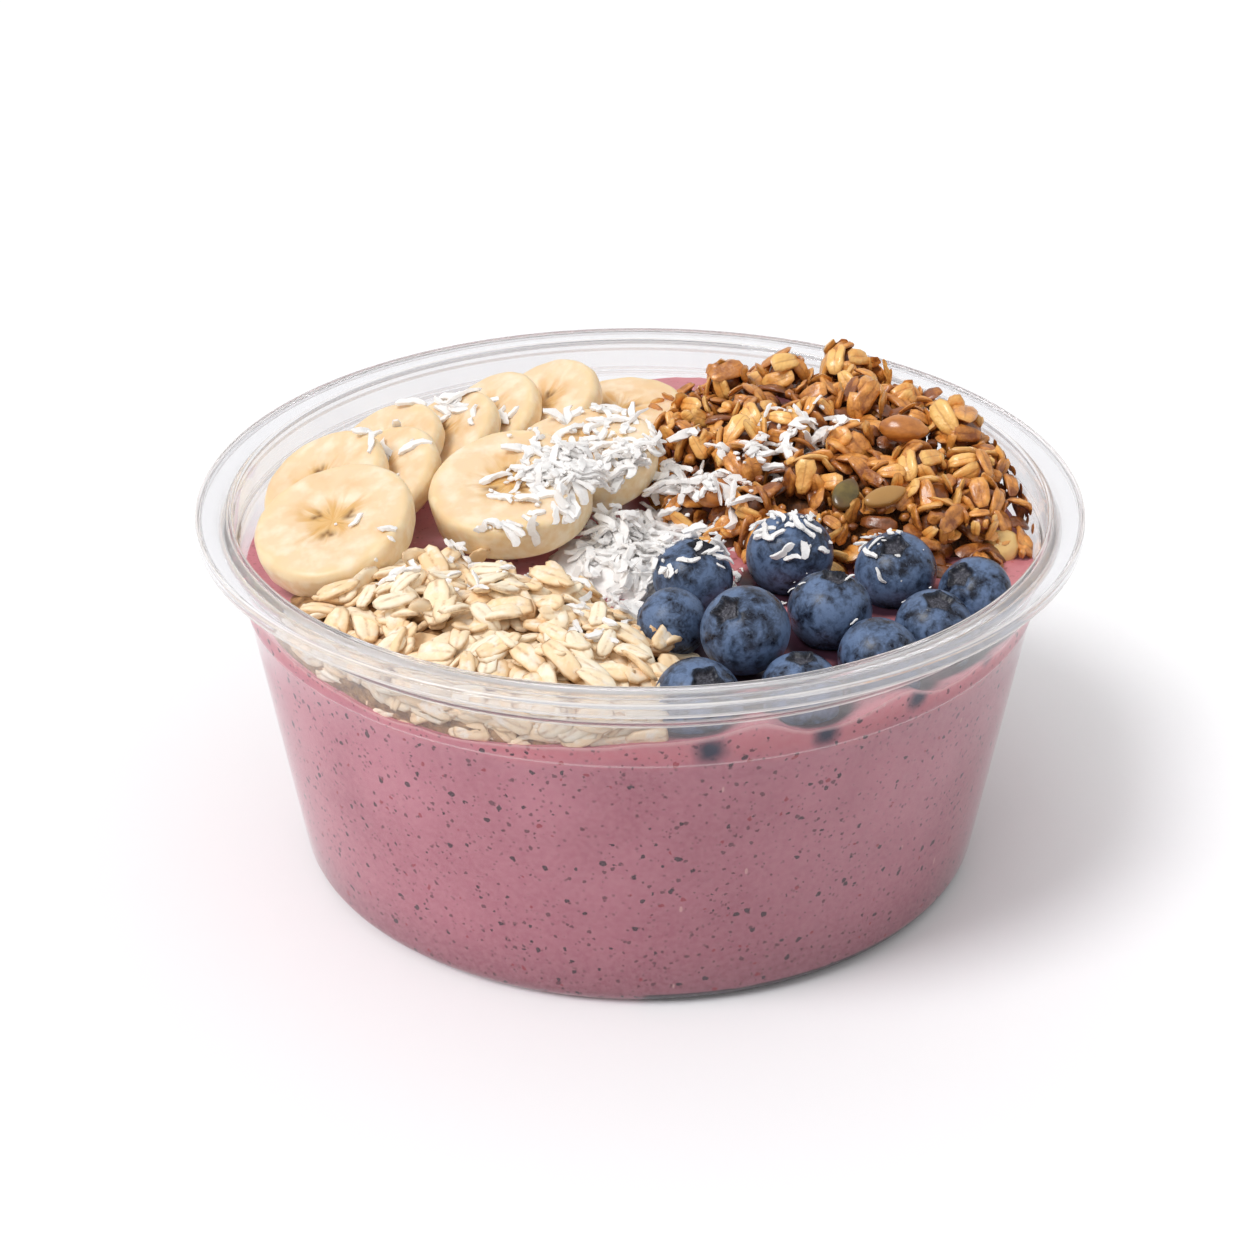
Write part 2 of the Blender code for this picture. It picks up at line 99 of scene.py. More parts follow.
# The bowl's own sizes, the same as its solid
BOWL_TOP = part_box("bowl")[1]
RIM_RADIUS = BOWL_TOP.x
RIM_HEIGHT = BOWL_TOP.z
FOOT_RADIUS = 65.3 * MM
WALL_SLOPE = 0.164
WALL = 0.9 * MM
CORNER_RADIUS = 4.5 * MM
LEDGE_HEIGHT = 63.7 * MM
LEDGE_STEP = 0.8 * MM
LIP_DEPTH = 2.6 * MM
TOP_OF_ALL = CAD_BOX[1].z
SLICES = 10
BERRIES = 11

# How far the filling reaches into the wall and a berry's painted shade over the smoothie, where a heap's
# core starts to fall off, how far out loose pieces may lie, and the bare circle beside the oats
INTO_WALL = 0.25 * MM
BERRY_SHADE_REACH = 3.6 * MM
CORE_SHOULDER = 60 * MM
HEAP_REACH = 74 * MM
SHRED_REACH = 73 * MM
BARE_CENTRE = Vector((-68, -25)) * MM
BARE_RADIUS = 17 * MM

# Where oats are pressed on the wall, as azimuths
WALL_OATS = (-146, -89)

# What a solid slice's underside is drawn in by at its bevel, and how much it tapers
SLICE_BEVEL = 0.9 * MM
SLICE_TAPER = 0.96

# The smoothie's level, with the swells and hollows of its solid and small scallops at the wall
SMOOTHIE_LEVEL = 58.6 * MM
Swell = namedtuple("Swell", "azimuth radius height width")
SWELLS = (
    Swell(80, 70 * MM, 4.6 * MM, 24 * MM),
    Swell(-122, 68 * MM, -2.5 * MM, 22 * MM),
    Swell(-75, 73 * MM, 3.4 * MM, 6 * MM),
    Swell(-54, 73 * MM, 3.2 * MM, 6 * MM),
    Swell(-84, 70 * MM, 1.6 * MM, 12 * MM),
    Swell(145, 21 * MM, 2.6 * MM, 15 * MM),
    Swell(-154, 63 * MM, 3.2 * MM, 9 * MM),
)

# The mounds under the heaps, the same as their solids
Mound = namedtuple("Mound", "x y height_centre along across rise turn")
OATS = Mound(-30.0, -42.0, 57.0, 46.0, 28.0, 14.0, -33)
GRANOLA = Mound(44.0, 33.0, 57.0, 50.0, 45.0, 18.0, 122)
COCONUT = Mound(-3.0, -9.5, 58.0, 17.0, 12.0, 6.5, -25)

Shape = namedtuple("Shape", "points faces place tone")


def srgb(red, green, blue):
    """Linear colour from red, green and blue as a screen shows them, 0 to 255."""
    parts = [part / 255 for part in (red, green, blue)]
    return tuple(((part + 0.055) / 1.055) ** 2.4 for part in parts) + (1.0,)


def colour_setting(name, description, red, green, blue):
    return FloatVectorProperty(name=name, description=description, subtype="COLOR", size=4,
                               min=0.0, max=1.0, default=srgb(red, green, blue))


# Materials


class Finish:
    """Builds a material from shader nodes, a step at a time."""

    def __init__(self, name):
        self.material = bpy.data.materials.new(name)
        self.material.use_nodes = True
        self.tree = self.material.node_tree
        self.tree.nodes.clear()
        self.output = self.add("OutputMaterial")
        self.shader = self.add("BsdfPrincipled")
        self.join(self.shader.outputs[0], self.output.inputs["Surface"])
        self.place = self.add("TexCoord").outputs["Object"]

    def add(self, kind, inputs=(), **settings):
        """Adds a shader node with these settings, and feeds or sets these of its inputs."""
        node = self.tree.nodes.new("ShaderNode" + kind)
        for key, value in settings.items():
            setattr(node, key, value)
        for key, value in dict(inputs).items():
            self.join(value, node.inputs[key])
        return node

    def join(self, value, socket):
        """Feeds a socket from another one, or sets it to a plain value."""
        if isinstance(value, bpy.types.NodeSocket):
            self.tree.links.new(value, socket)
        else:
            socket.default_value = value

    def set(self, **values):
        for key, value in values.items():
            self.join(value, self.shader.inputs[key.replace("_", " ")])

    def attribute(self, name, output="Fac"):
        return self.add("Attribute", attribute_name=name).outputs[output]

    def mapped(self, vector, scale=(1, 1, 1), rotation=(0, 0, 0)):
        inputs = {"Vector": vector, "Scale": scale, "Rotation": rotation}
        return self.add("Mapping", inputs).outputs["Vector"]

    def noise(self, scale, detail=2.0, roughness=0.5, vector=None, distortion=0.0):
        inputs = {"Vector": vector or self.place, "Scale": scale, "Detail": detail,
                  "Roughness": roughness, "Distortion": distortion}
        return self.add("TexNoise", inputs).outputs["Fac"]

    def cells(self, scale, vector=None):
        """Scattered points: the distance to the nearest one, and a colour for each."""
        return self.add("TexVoronoi", {"Vector": vector or self.place, "Scale": scale}).outputs

    def speckle(self, scale, share, reach, turn):
        """A mask of scattered ragged specks: one in some of the cells, up to reach cells wide."""
        ragged = self.add("TexNoise", {"Vector": self.place, "Scale": scale * 2.2})
        shift = self.vector_maths("MULTIPLY", ragged.outputs["Color"], (0.55 / scale,) * 3)
        points = self.cells(scale, self.mapped(self.vector_maths("ADD", self.place, shift), rotation=turn))
        chance = self.parts(points["Color"])["X"]
        limit = self.range(chance, 1 - share, 1.0, 0.0, reach)
        return self.maths("LESS_THAN", points["Distance"], limit)

    def maths(self, operation, a, b=0.0):
        return self.add("Math", {0: a, 1: b}, operation=operation).outputs[0]

    def times(self, a, b):
        return self.maths("MULTIPLY", a, b)

    def plus(self, a, b):
        return self.maths("ADD", a, b)

    def vector_maths(self, operation, a, b=(0, 0, 0), output="Vector"):
        return self.add("VectorMath", {0: a, 1: b}, operation=operation).outputs[output]

    def parts(self, vector):
        return self.add("SeparateXYZ", {0: vector}).outputs

    def joined(self, *parts):
        return self.add("CombineXYZ", enumerate(parts)).outputs[0]

    def range(self, value, low, high, to_low=0.0, to_high=1.0, smooth=False):
        inputs = {"Value": value, "From Min": low, "From Max": high, "To Min": to_low, "To Max": to_high}
        kind = "SMOOTHSTEP" if smooth else "LINEAR"
        return self.add("MapRange", inputs, interpolation_type=kind).outputs[0]

    def mix(self, amount, first, second):
        inputs = {"Factor": amount, 6: first, 7: second}
        return self.add("Mix", inputs, data_type="RGBA").outputs[2]

    def over(self, colour, tone, value, low, high, most=1.0, smooth=False):
        """Lays a tone over a colour, more and more as a value goes from low to high."""
        return self.mix(self.range(value, low, high, 0.0, most, smooth), colour, tone)

    def bump(self, height, strength, distance):
        node = self.add("Bump", {"Strength": strength, "Distance": distance, "Height": height})
        self.join(node.outputs["Normal"], self.shader.inputs["Normal"])


# Meshes


def looks_collection():
    found = bpy.data.collections.get("acai_bowl_looks")
    if not found:
        found = bpy.data.collections.new("acai_bowl_looks")
        bpy.context.scene.collection.children.link(found)
    return found


def add_piece(mesh, material, slot, node=None, sharp=None):
    """Adds a finished mesh to the scene as a piece of the bowl, in place of its solid."""
    obj = bpy.data.objects.new(mesh.name, mesh)
    looks_collection().objects.link(obj)
    mesh.materials.append(material)
    mesh.shade_smooth()
    if sharp:
        mesh.set_sharp_from_angle(angle=radians(sharp))
    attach(obj, "root")
    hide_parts(node or slot)


def mesh_from(bm, name):
    mesh = bpy.data.meshes.new(name)
    bm.to_mesh(mesh)
    bm.free()
    return mesh


def unit_ball(sides, rings):
    bm = bmesh.new()
    bmesh.ops.create_uvsphere(bm, u_segments=sides, v_segments=rings, radius=1.0)
    return bm


def turned(profile, steps):
    """Spins (radius, height) points about Z. The profile starts and ends on the axis."""
    bm = bmesh.new()
    verts = [bm.verts.new((r, 0, z)) for r, z in profile]
    edges = [bm.edges.new(pair) for pair in zip(verts, verts[1:])]
    bmesh.ops.spin(bm, geom=verts + edges, cent=(0, 0, 0), axis=(0, 0, 1), angle=tau,
                   steps=steps, use_merge=True)
    bmesh.ops.remove_doubles(bm, verts=bm.verts, dist=0.001 * MM)
    bmesh.ops.recalc_face_normals(bm, faces=bm.faces)
    return bm


def arc(centre, radius, start, end, steps):
    """Points (r, z) along an arc, with angles in degrees from +r towards +z."""
    angles = [radians(start + (end - start) * i / steps) for i in range(steps + 1)]
    return [(centre[0] + radius * cos(a), centre[1] + radius * sin(a)) for a in angles]


def shape_from(bm, place):
    """Takes the corners and faces out of a bmesh, for copies in a heap."""
    bm.verts.index_update()
    points = np.array([v.co for v in bm.verts])
    faces = [tuple(v.index for v in face.verts) for face in bm.faces]
    bm.free()
    return Shape(points, faces, np.array(place), np.zeros(len(points)))


class Heap:
    """Gathers many small shapes into one mesh, with a tone for each copy."""

    def __init__(self):
        self.points = []
        self.faces = []
        self.place = []
        self.tone = []
        self.total = 0

    def add(self, shape, matrix, tone=0.0):
        turn = np.array(matrix.to_3x3())
        self.points.append(shape.points @ turn.T + np.array(matrix.translation))
        self.faces.extend(tuple(i + self.total for i in face) for face in shape.faces)
        self.place.append(shape.place)
        self.tone.append(shape.tone + tone)
        self.total += len(shape.points)

    def paint_depth_shade(self, mound, depth, strength):
        """Paints shade: lowers the tone of what lies deep in a mound."""
        for index, points in enumerate(self.points):
            buried = np.clip(depth_under(mound, points) / depth, 0, 1)
            self.tone[index] = self.tone[index] - strength * buried

    def tree(self):
        """What the heap holds so far, for ray casts."""
        made = self.shape()
        return BVHTree.FromPolygons(made.points.tolist(), made.faces)

    def shape(self):
        return Shape(np.concatenate(self.points), list(self.faces), np.concatenate(self.place),
                     np.concatenate(self.tone))

    def mesh(self, name, clearance=0.25 * MM):
        made = self.shape()
        points = kept_inside(made.points, clearance)
        mesh = bpy.data.meshes.new(name)
        mesh.from_pydata(points.tolist(), [], made.faces)
        add_attributes(mesh, made.place, made.tone)
        return mesh


def add_values(mesh, **values):
    """Stores a number for each corner under each of the names."""
    for name, numbers in values.items():
        stored = mesh.attributes.new(name, "FLOAT", "POINT")
        stored.data.foreach_set("value", np.asarray(numbers, np.float32).ravel())


def add_attributes(mesh, place, tone):
    """Stores each corner's place on its own piece, and a tone, for the materials to read."""
    stored = mesh.attributes.new("place", "FLOAT_VECTOR", "POINT")
    stored.data.foreach_set("vector", np.asarray(place, np.float32).ravel())
    add_values(mesh, tone=tone)


def pose(point, normal=UP, turn=0.0, lean=0.0, towards=0.0, scale=1.0):
    """Lays a shape at a point, on a surface with this normal, tipped over by lean."""
    upright = UP.rotation_difference(normal).to_matrix().to_4x4()
    tip = Matrix.Rotation(lean, 4, Vector((cos(towards), sin(towards), 0)))
    spin = Matrix.Rotation(turn, 4, "Z") @ Matrix.Scale(scale, 4)
    return Matrix.Translation(point) @ upright @ tip @ spin


def any_turn(rng):
    return rng.uniform(0, tau)


def wall_pose(point, normal, turn, lean, scale):
    """Presses a shape flat on the wall, its length level but for a small turn."""
    across = normal.cross(UP).normalized()
    frame_turn = Matrix((across, normal.cross(across), normal)).transposed().to_4x4()
    tip = Matrix.Rotation(lean, 4, "X") @ Matrix.Rotation(turn, 4, "Z")
    return Matrix.Translation(point) @ frame_turn @ tip @ Matrix.Scale(scale, 4)


def outer_radius(z):
    return FOOT_RADIUS + WALL_SLOPE * z


def inner_radius(z):
    return outer_radius(z) - WALL * sqrt(1 + WALL_SLOPE * WALL_SLOPE)


def kept_inside(points, clearance):
    """Pulls corners that would poke through the bowl's wall back inside it, and caps the top."""
    points = points.copy()
    reach = np.hypot(points[:, 0], points[:, 1])
    room = inner_radius(np.minimum(points[:, 2], LEDGE_HEIGHT)) - clearance
    over = reach > room
    points[over, :2] *= (room[over] / reach[over])[:, None]
    points[:, 2] = np.minimum(points[:, 2], TOP_OF_ALL - 0.05 * MM)
    return points


def around(azimuth, radius):
    angle = radians(azimuth)
    return Vector((radius * cos(angle), radius * sin(angle)))


def level(x, y):
    """Height of the smoothie's surface."""
    height = SMOOTHIE_LEVEL
    for swell in SWELLS:
        off = (Vector((x, y)) - around(swell.azimuth, swell.radius)).length / swell.width
        height += swell.height * exp(-off * off)
    return height


def inside_mound(mound, x, y):
    """1 over the middle of a mound, 0 at its edge in plan, and less beside it."""
    angle = radians(mound.turn)
    dx = x / MM - mound.x
    dy = y / MM - mound.y
    u = (dx * cos(angle) + dy * sin(angle)) / mound.along
    v = (dy * cos(angle) - dx * sin(angle)) / mound.across
    return 1 - u * u - v * v


def mound_height(mound, x, y):
    """Height of a mound's smooth top over a place in plan, or None beside it."""
    inside = inside_mound(mound, x, y)
    return (mound.height_centre + mound.rise * sqrt(inside)) * MM if inside > 0 else None


def depth_under(mound, points):
    """How far each point lies below a mound's smooth top."""
    inside = np.clip(inside_mound(mound, points[:, 0], points[:, 1]), 0, None)
    return (mound.height_centre + mound.rise * np.sqrt(inside)) * MM - points[:, 2]


def mound_top(mound, x, y, step=0.5 * MM):
    """A point on a mound's top with its normal, or None where the smoothie covers it."""
    here = mound_height(mound, x, y)
    east = mound_height(mound, x + step, y)
    north = mound_height(mound, x, y + step)
    if here is None or east is None or north is None or here < level(x, y):
        return None
    normal = Vector((here - east, here - north, step)).normalized()
    return Vector((x, y, here)), normal


def over_mound(mound, count, rng, jitter, grow=1.0):
    """Evenly spread places in plan over a mound, each shaken a little."""
    turn = Matrix.Rotation(radians(mound.turn), 2)
    centre = Vector((mound.x, mound.y))
    along = mound.along * grow
    across = mound.across * grow
    for i in range(count):
        reach = sqrt((i + 0.5) / count)
        spot = Vector((along * reach * cos(i * GOLDEN), across * reach * sin(i * GOLDEN)))
        shake = Vector((rng.uniform(-jitter, jitter), rng.uniform(-jitter, jitter)))
        yield (centre + turn @ spot + shake) * MM


def highest(trees, spot):
    """The highest point and its normal under a place in plan, or None."""
    best = None
    for tree in trees:
        hit, normal, _, _ = tree.ray_cast(spot.to_3d() + UP * SIGHT_HEIGHT, DOWN)
        if hit is not None and (best is None or hit.z > best[0].z):
            best = hit, normal
    return best


def mound_core(mound, name, lumps, lump_size, sink, fall=0.0):
    """A rough mound that fills a heap below its loose pieces, and falls off towards the wall."""
    bm = unit_ball(96, 48)
    turn = Matrix.Rotation(radians(mound.turn), 4, "Z")
    centre = Vector((mound.x, mound.y, mound.height_centre - sink))
    size = Matrix.Diagonal((mound.along - sink, mound.across - sink, mound.rise, 1))
    bm.transform(Matrix.Scale(MM, 4) @ Matrix.Translation(centre) @ turn @ size)
    bm.normal_update()
    for v in bm.verts:
        v.co += v.normal * (lumps * noise.noise(v.co / lump_size))
        v.co.z -= fall * max(0.0, v.co.xy.length - CORE_SHOULDER)
    points = kept_inside(np.array([v.co for v in bm.verts]), 0.6 * MM)
    for v, point in zip(bm.verts, points):
        v.co = point
    return mesh_from(bm, name)


def flake_shape(rng, length, width, thickness, crease=0.35, curl=0.12, uneven=0.12):
    """A rolled flake: an oval pad with a crease along it, a ragged edge and a slight curl."""
    bm = unit_ball(12, 6)
    seed = Vector((rng.uniform(0, 99), rng.uniform(0, 99), 0))
    taper = rng.uniform(0.0, 0.25)
    twist = rng.uniform(-0.25, 0.25)
    place = []
    for v in bm.verts:
        x, y, z = v.co
        place.append((x, y, z))
        angle = atan2(y, x)
        edge = seed + Vector((2.2 * cos(angle), 2.2 * sin(angle), 0))
        ragged = 1 + 0.12 * noise.noise(edge)
        ragged *= 1 + 0.07 * cos(4 * angle + pi)
        pad = copysign(abs(z) ** 0.55, z) if z else 0.0
        groove = crease * exp(-(y / 0.16) ** 2) * (1 - x * x) if z > 0 else 0.0
        lumpy = uneven * noise.noise(seed + Vector((3 * x, 3 * y, z)))
        px = x * ragged * length / 2
        py = y * ragged * width / 2 * (1 - taper * x)
        pz = (pad - groove + lumpy) * thickness / 2
        pz += curl * length * (0.25 - x * x) + twist * x * py
        v.co = (px, py, pz)
    return shape_from(bm, place)


def lump_shape(rng, size, stretch, rough, detail=2):
    """An irregular rounded lump."""
    bm = bmesh.new()
    bmesh.ops.create_icosphere(bm, subdivisions=detail, radius=1.0)
    seed = Vector((rng.uniform(0, 99), rng.uniform(0, 99), rng.uniform(0, 99)))
    place = []
    for v in bm.verts:
        place.append(tuple(v.co))
        v.co *= 1 + rough * noise.noise(seed + v.co * 1.6)
        v.co = [v.co[i] * stretch[i] * size / 2 for i in range(3)]
    return shape_from(bm, place)


def shred_shape(rng, length, width, thickness):
    """A shred of coconut: a thin curved ribbon with rough sides and torn ends."""
    bm = bmesh.new()
    bmesh.ops.create_cube(bm, size=1.0)
    along = [e for e in bm.edges if abs(e.verts[0].co.x - e.verts[1].co.x) > 0.5]
    bmesh.ops.subdivide_edges(bm, edges=along, cuts=7, use_grid_fill=True)
    bend = rng.uniform(-0.9, 0.9)
    arch = rng.uniform(0.0, 0.8)
    twist = rng.uniform(-0.8, 0.8)
    wave = rng.uniform(-0.10, 0.10)
    place = []
    for v in bm.verts:
        x, y, z = v.co
        place.append((2 * x, 2 * y, 2 * z))
        narrow = 1 - 0.45 * abs(2 * x) ** 3
        y = y * width * narrow * rng.uniform(0.75, 1.25)
        z = z * thickness * narrow * rng.uniform(0.7, 1.3)
        turn = twist * x
        y, z = y * cos(turn) - z * sin(turn), y * sin(turn) + z * cos(turn)
        px = x * length + rng.uniform(-0.06, 0.06) * length
        y += length * (0.6 * bend * x * x + wave * sin(tau * x))
        v.co = (px, y, z - arch * length * x * x * 0.5)
    bmesh.ops.recalc_face_normals(bm, faces=bm.faces)
    return shape_from(bm, place)


def scene_tree(*names):
    """One tree of every shown piece whose name starts with one of these, for ray casts."""
    points = []
    faces = []
    for obj in looks_collection().objects:
        if obj.name.startswith(names):
            start = len(points)
            points.extend(v.co.copy() for v in obj.data.vertices)
            faces.extend(tuple(i + start for i in face.vertices) for face in obj.data.polygons)
    return BVHTree.FromPolygons(points, faces)


# Settings


def number_setting(name, description, default, **more):
    return FloatProperty(name=name, description=description, default=default, **more)


def length_setting(name, description, default):
    return number_setting(name, description, default, subtype="DISTANCE", unit="LENGTH")


def count_setting(name, description, default, least=1):
    return IntProperty(name=name, description=description, default=default, min=least)


class BowlSettings(bpy.types.PropertyGroup):
    steps: count_setting("Steps", "Sides of the turned bowl", 192, 32)
    tint: colour_setting("Tint", "Colour of the clear plastic", 244, 245, 248)
    haze_colour: colour_setting("Haze colour", "Colour of the milky haze in the plastic", 238, 233, 230)
    haze: number_setting("Haze", "How milky the wall is", 0.015, min=0, max=1)
    rim_haze: number_setting("Rim haze", "How milky the rim is", 0.09, min=0, max=1)
    roughness: number_setting("Roughness", "Blur of what shows through", 0.0)


class SmoothieSettings(bpy.types.PropertyGroup):
    colour: colour_setting("Colour", "Body of the smoothie", 212, 138, 154)
    # The low colour mottles the body and also paints shade towards the bottom
    low_tone_and_shade: colour_setting("Low colour", "Deeper colour lower down", 190, 112, 130)
    top_colour: colour_setting("Top colour", "Coral band under the surface", 222, 136, 146)
    steps: count_setting("Steps", "Sides of the filling", 180, 32)


class BananaSettings(bpy.types.PropertyGroup):
    flesh: colour_setting("Flesh", "Pale flesh of the slice", 241, 212, 174)
    edge: colour_setting("Edge", "Paler rim of the slice", 240, 210, 162)
    core: colour_setting("Core", "Honey-coloured core", 222, 170, 94)
    seed: colour_setting("Seeds", "Brown seed spots", 124, 80, 34)
    steps: count_setting("Steps", "Sides of a slice", 84, 24)


class BerrySettings(bpy.types.PropertyGroup):
    skin: colour_setting("Skin", "Dark blue skin", 22, 26, 40)
    bloom: colour_setting("Bloom", "Dusty bloom on the skin", 104, 126, 162)
    crown: colour_setting("Crown", "Dry grey inside of the crown", 90, 90, 100)
    steps: count_setting("Steps", "Sides of a berry", 80, 24)


class GranolaSettings(bpy.types.PropertyGroup):
    pale: colour_setting("Pale", "Lightest toasted flakes", 254, 202, 118)
    golden: colour_setting("Golden", "Most of the granola", 234, 157, 71)
    # Dark also paints the shade in the hollows, and deep is painted shade in the gaps between the clusters
    dark: colour_setting("Dark", "Darker glaze in the hollows", 148, 80, 28)
    deep: colour_setting("Deep", "Darkest gaps between the clusters", 84, 46, 20)
    clusters: count_setting("Clusters", "Clusters tried over the heap", 520)
    cluster_size: length_setting("Cluster size", "Width of a cluster", 12.5 * MM)


class OatSettings(bpy.types.PropertyGroup):
    pale: colour_setting("Pale", "Cream face of the flakes", 255, 242, 216)
    golden: colour_setting("Golden", "Warmer flakes", 253, 221, 176)
    # The bran colour is also the painted shade deep in the heap
    bran_and_shade: colour_setting("Bran", "Brown edges and creases", 188, 138, 86)
    flakes: count_setting("Flakes", "Flakes laid over the heap", 640)
    layers: count_setting("Layers", "Layers that they are laid in", 5)
    wall_flakes: count_setting("Wall flakes", "Flakes pressed on the wall", 130)
    length: length_setting("Flake length", "Usual length of a flake", 8.8 * MM)


class CoconutSettings(bpy.types.PropertyGroup):
    colour: colour_setting("Colour", "Dry white coconut", 255, 253, 251)
    shade: colour_setting("Shade", "Slightly greyer coconut", 246, 242, 240)
    length: length_setting("Shred length", "Usual length of a shred", 5.2 * MM)


class StageSettings(bpy.types.PropertyGroup):
    floor: colour_setting("Floor", "Colour of the floor", 252, 252, 252)
    sky: number_setting("Sky", "Strength of the white light from above", 0.72)
    horizon: number_setting("Horizon", "Strength of the light from the sides", 0.55)
    key: number_setting("Key light", "Strength of the soft main light", 1.7)
    lens: number_setting("Lens", "Focal length in millimetres", 77.36)
    distance: length_setting("Distance", "Camera to aim point", 0.520)
    elevation: number_setting("Elevation", "Camera above the horizon", radians(27.74),
                              subtype="ANGLE", unit="ROTATION")


# Bowl


# Painted highlights: lines of milkier plastic where the bead, ledge and rim edges catch the light; height
# or radius, half width, strength
Line = namedtuple("Line", "place width strength")
LEVEL_LINES = (
    Line(55.0, 0.35, 0.22),
    Line(63.4, 0.5, 0.22),
    Line(64.6, 0.3, 0.3),
    Line(68.9, 0.35, 0.45),
)
ROUND_LINES = (
    Line(82.2, 0.35, 0.5),
    Line(76.1, 0.35, 0.45),
)


def plastic_material(settings):
    """Clear moulded plastic, a little milky, that lets light straight through to the food."""
    finish = Finish("clear_plastic")
    finish.set(Base_Color=settings.tint, Roughness=settings.roughness, IOR=1.45,
               Transmission_Weight=1.0, Specular_IOR_Level=0.5)
    haze = finish.add("BsdfDiffuse", {"Color": settings.haze_colour})
    z = finish.parts(finish.place)["Z"]
    flat = finish.vector_maths("MULTIPLY", finish.place, (1, 1, 0))
    out = finish.vector_maths("LENGTH", flat, output="Value")
    amount = finish.range(z, 60 * MM, 66 * MM, settings.haze, settings.rim_haze)
    # Painted highlights: milkier lines along the bead, ledge and rim edges
    for value, lines in ((z, LEVEL_LINES), (out, ROUND_LINES)):
        for line in lines:
            away = finish.maths("ABSOLUTE", finish.maths("SUBTRACT", value, line.place * MM))
            milky = finish.range(away, line.width * MM, 0.0, 0.0, line.strength, smooth=True)
            amount = finish.plus(amount, milky)
    body = finish.add("MixShader", {0: amount, 1: finish.shader.outputs[0], 2: haze.outputs[0]})
    clear = finish.add("BsdfTransparent", {"Color": srgb(248, 247, 249)})
    in_shadow = finish.add("LightPath").outputs["Is Shadow Ray"]
    passing = finish.add("MixShader", {0: in_shadow, 1: body.outputs[0], 2: clear.outputs[0]})
    finish.join(passing.outputs[0], finish.output.inputs["Surface"])
    return finish.material


def bottom_corner():
    """The wall's lean in degrees, and the centre (r, z) of the corner between wall and floor."""
    lean = degrees(atan(WALL_SLOPE))
    tip = CORNER_RADIUS * (1 - sin(radians(lean)))
    return lean, (outer_radius(tip) - CORNER_RADIUS * cos(radians(lean)), CORNER_RADIUS)


def bowl_profile():
    """Half outline from the inside of the floor, over the rim and lip, to the underside."""
    lean, corner = bottom_corner()
    collar_in = inner_radius(LEDGE_HEIGHT) + LEDGE_STEP
    collar_out = collar_in + WALL
    top = RIM_HEIGHT
    round_off = 0.6 * MM
    line = 55.0 * MM
    bead = 0.22 * MM
    profile = [(0, WALL), (40 * MM, WALL)]
    profile += arc(corner, CORNER_RADIUS - WALL, -90, -lean, 8)
    profile += [(inner_radius(z * MM), z * MM) for z in (12, 24, 36, 48, 56, 61)]
    profile += [(inner_radius(LEDGE_HEIGHT), LEDGE_HEIGHT)]
    profile += [(collar_in - 0.25 * MM, LEDGE_HEIGHT + 0.35 * MM)]
    profile += [(collar_in, LEDGE_HEIGHT + LEDGE_STEP)]
    profile += [(collar_in, top - 2.4 * MM)]
    profile += arc((collar_in + round_off, top - round_off), round_off, 180, 90, 5)
    profile += [(collar_in + 2.2 * MM, top - 0.02 * MM), (RIM_RADIUS - 2.2 * MM, top - 0.02 * MM)]
    profile += arc((RIM_RADIUS - round_off, top - round_off), round_off, 90, 0, 5)
    profile += arc((RIM_RADIUS - WALL / 2, top - LIP_DEPTH + WALL / 2), WALL / 2, 0, -180, 6)
    profile += arc((RIM_RADIUS - WALL - 0.4 * MM, top - WALL - 0.4 * MM), 0.4 * MM, 0, 90, 3)
    profile += [(collar_out + 0.5 * MM, top - WALL), (collar_out, top - WALL - 0.5 * MM)]
    profile += [(collar_out, LEDGE_HEIGHT + LEDGE_STEP), (collar_out - 0.3 * MM, LEDGE_HEIGHT)]
    profile += [(outer_radius(LEDGE_HEIGHT - 0.6 * MM), LEDGE_HEIGHT - 0.6 * MM)]
    profile += [(outer_radius(line + 0.5 * MM), line + 0.5 * MM), (outer_radius(line) + bead, line)]
    profile += [(outer_radius(line - 0.5 * MM), line - 0.5 * MM)]
    profile += [(outer_radius(z * MM), z * MM) for z in (48, 36, 24, 12)]
    profile += arc(corner, CORNER_RADIUS, -lean, -90, 8)
    profile += [(40 * MM, 0), (0, 0)]
    return profile


class ACAI_OT_bowl(bpy.types.Operator):
    """Build the clear bowl with its ledge, rim and turned-down lip"""
    bl_idname = "acai.bowl"
    bl_label = "Bowl"

    def execute(self, context):
        settings = context.scene.acai_bowl
        bm = turned(bowl_profile(), settings.steps)
        mesh = mesh_from(bm, "clear_bowl")
        add_piece(mesh, plastic_material(settings), "bowl", sharp=50)
        return {"FINISHED"}


# Smoothie

# Places where a berry presses on the wall and darkens the smoothie, with the patch's size
BERRY_MARKS = (
    (11.5, -73.2, 57.6, 3.2),
    (31.0, -67.4, 57.4, 2.8),
    (47.0, -57.5, 59.0, 2.6),
    (60.5, -43.0, 59.5, 2.4),
)

# Specks: cells in a metre, share of cells with one, reach in cells, turn, colour, strength
SPECKS = (
    (1000, 0.70, 0.34, (0.1, 0.7, 0.5), srgb(134, 78, 90), 0.6),
    (620, 0.80, 0.29, (0.3, 0.4, 0.9), srgb(104, 52, 66), 0.8),
    (400, 0.72, 0.25, (0.9, 0.2, 0.1), srgb(60, 34, 48), 0.92),
    (360, 0.50, 0.20, (0.5, 1.1, 0.3), srgb(172, 40, 58), 0.75),
)


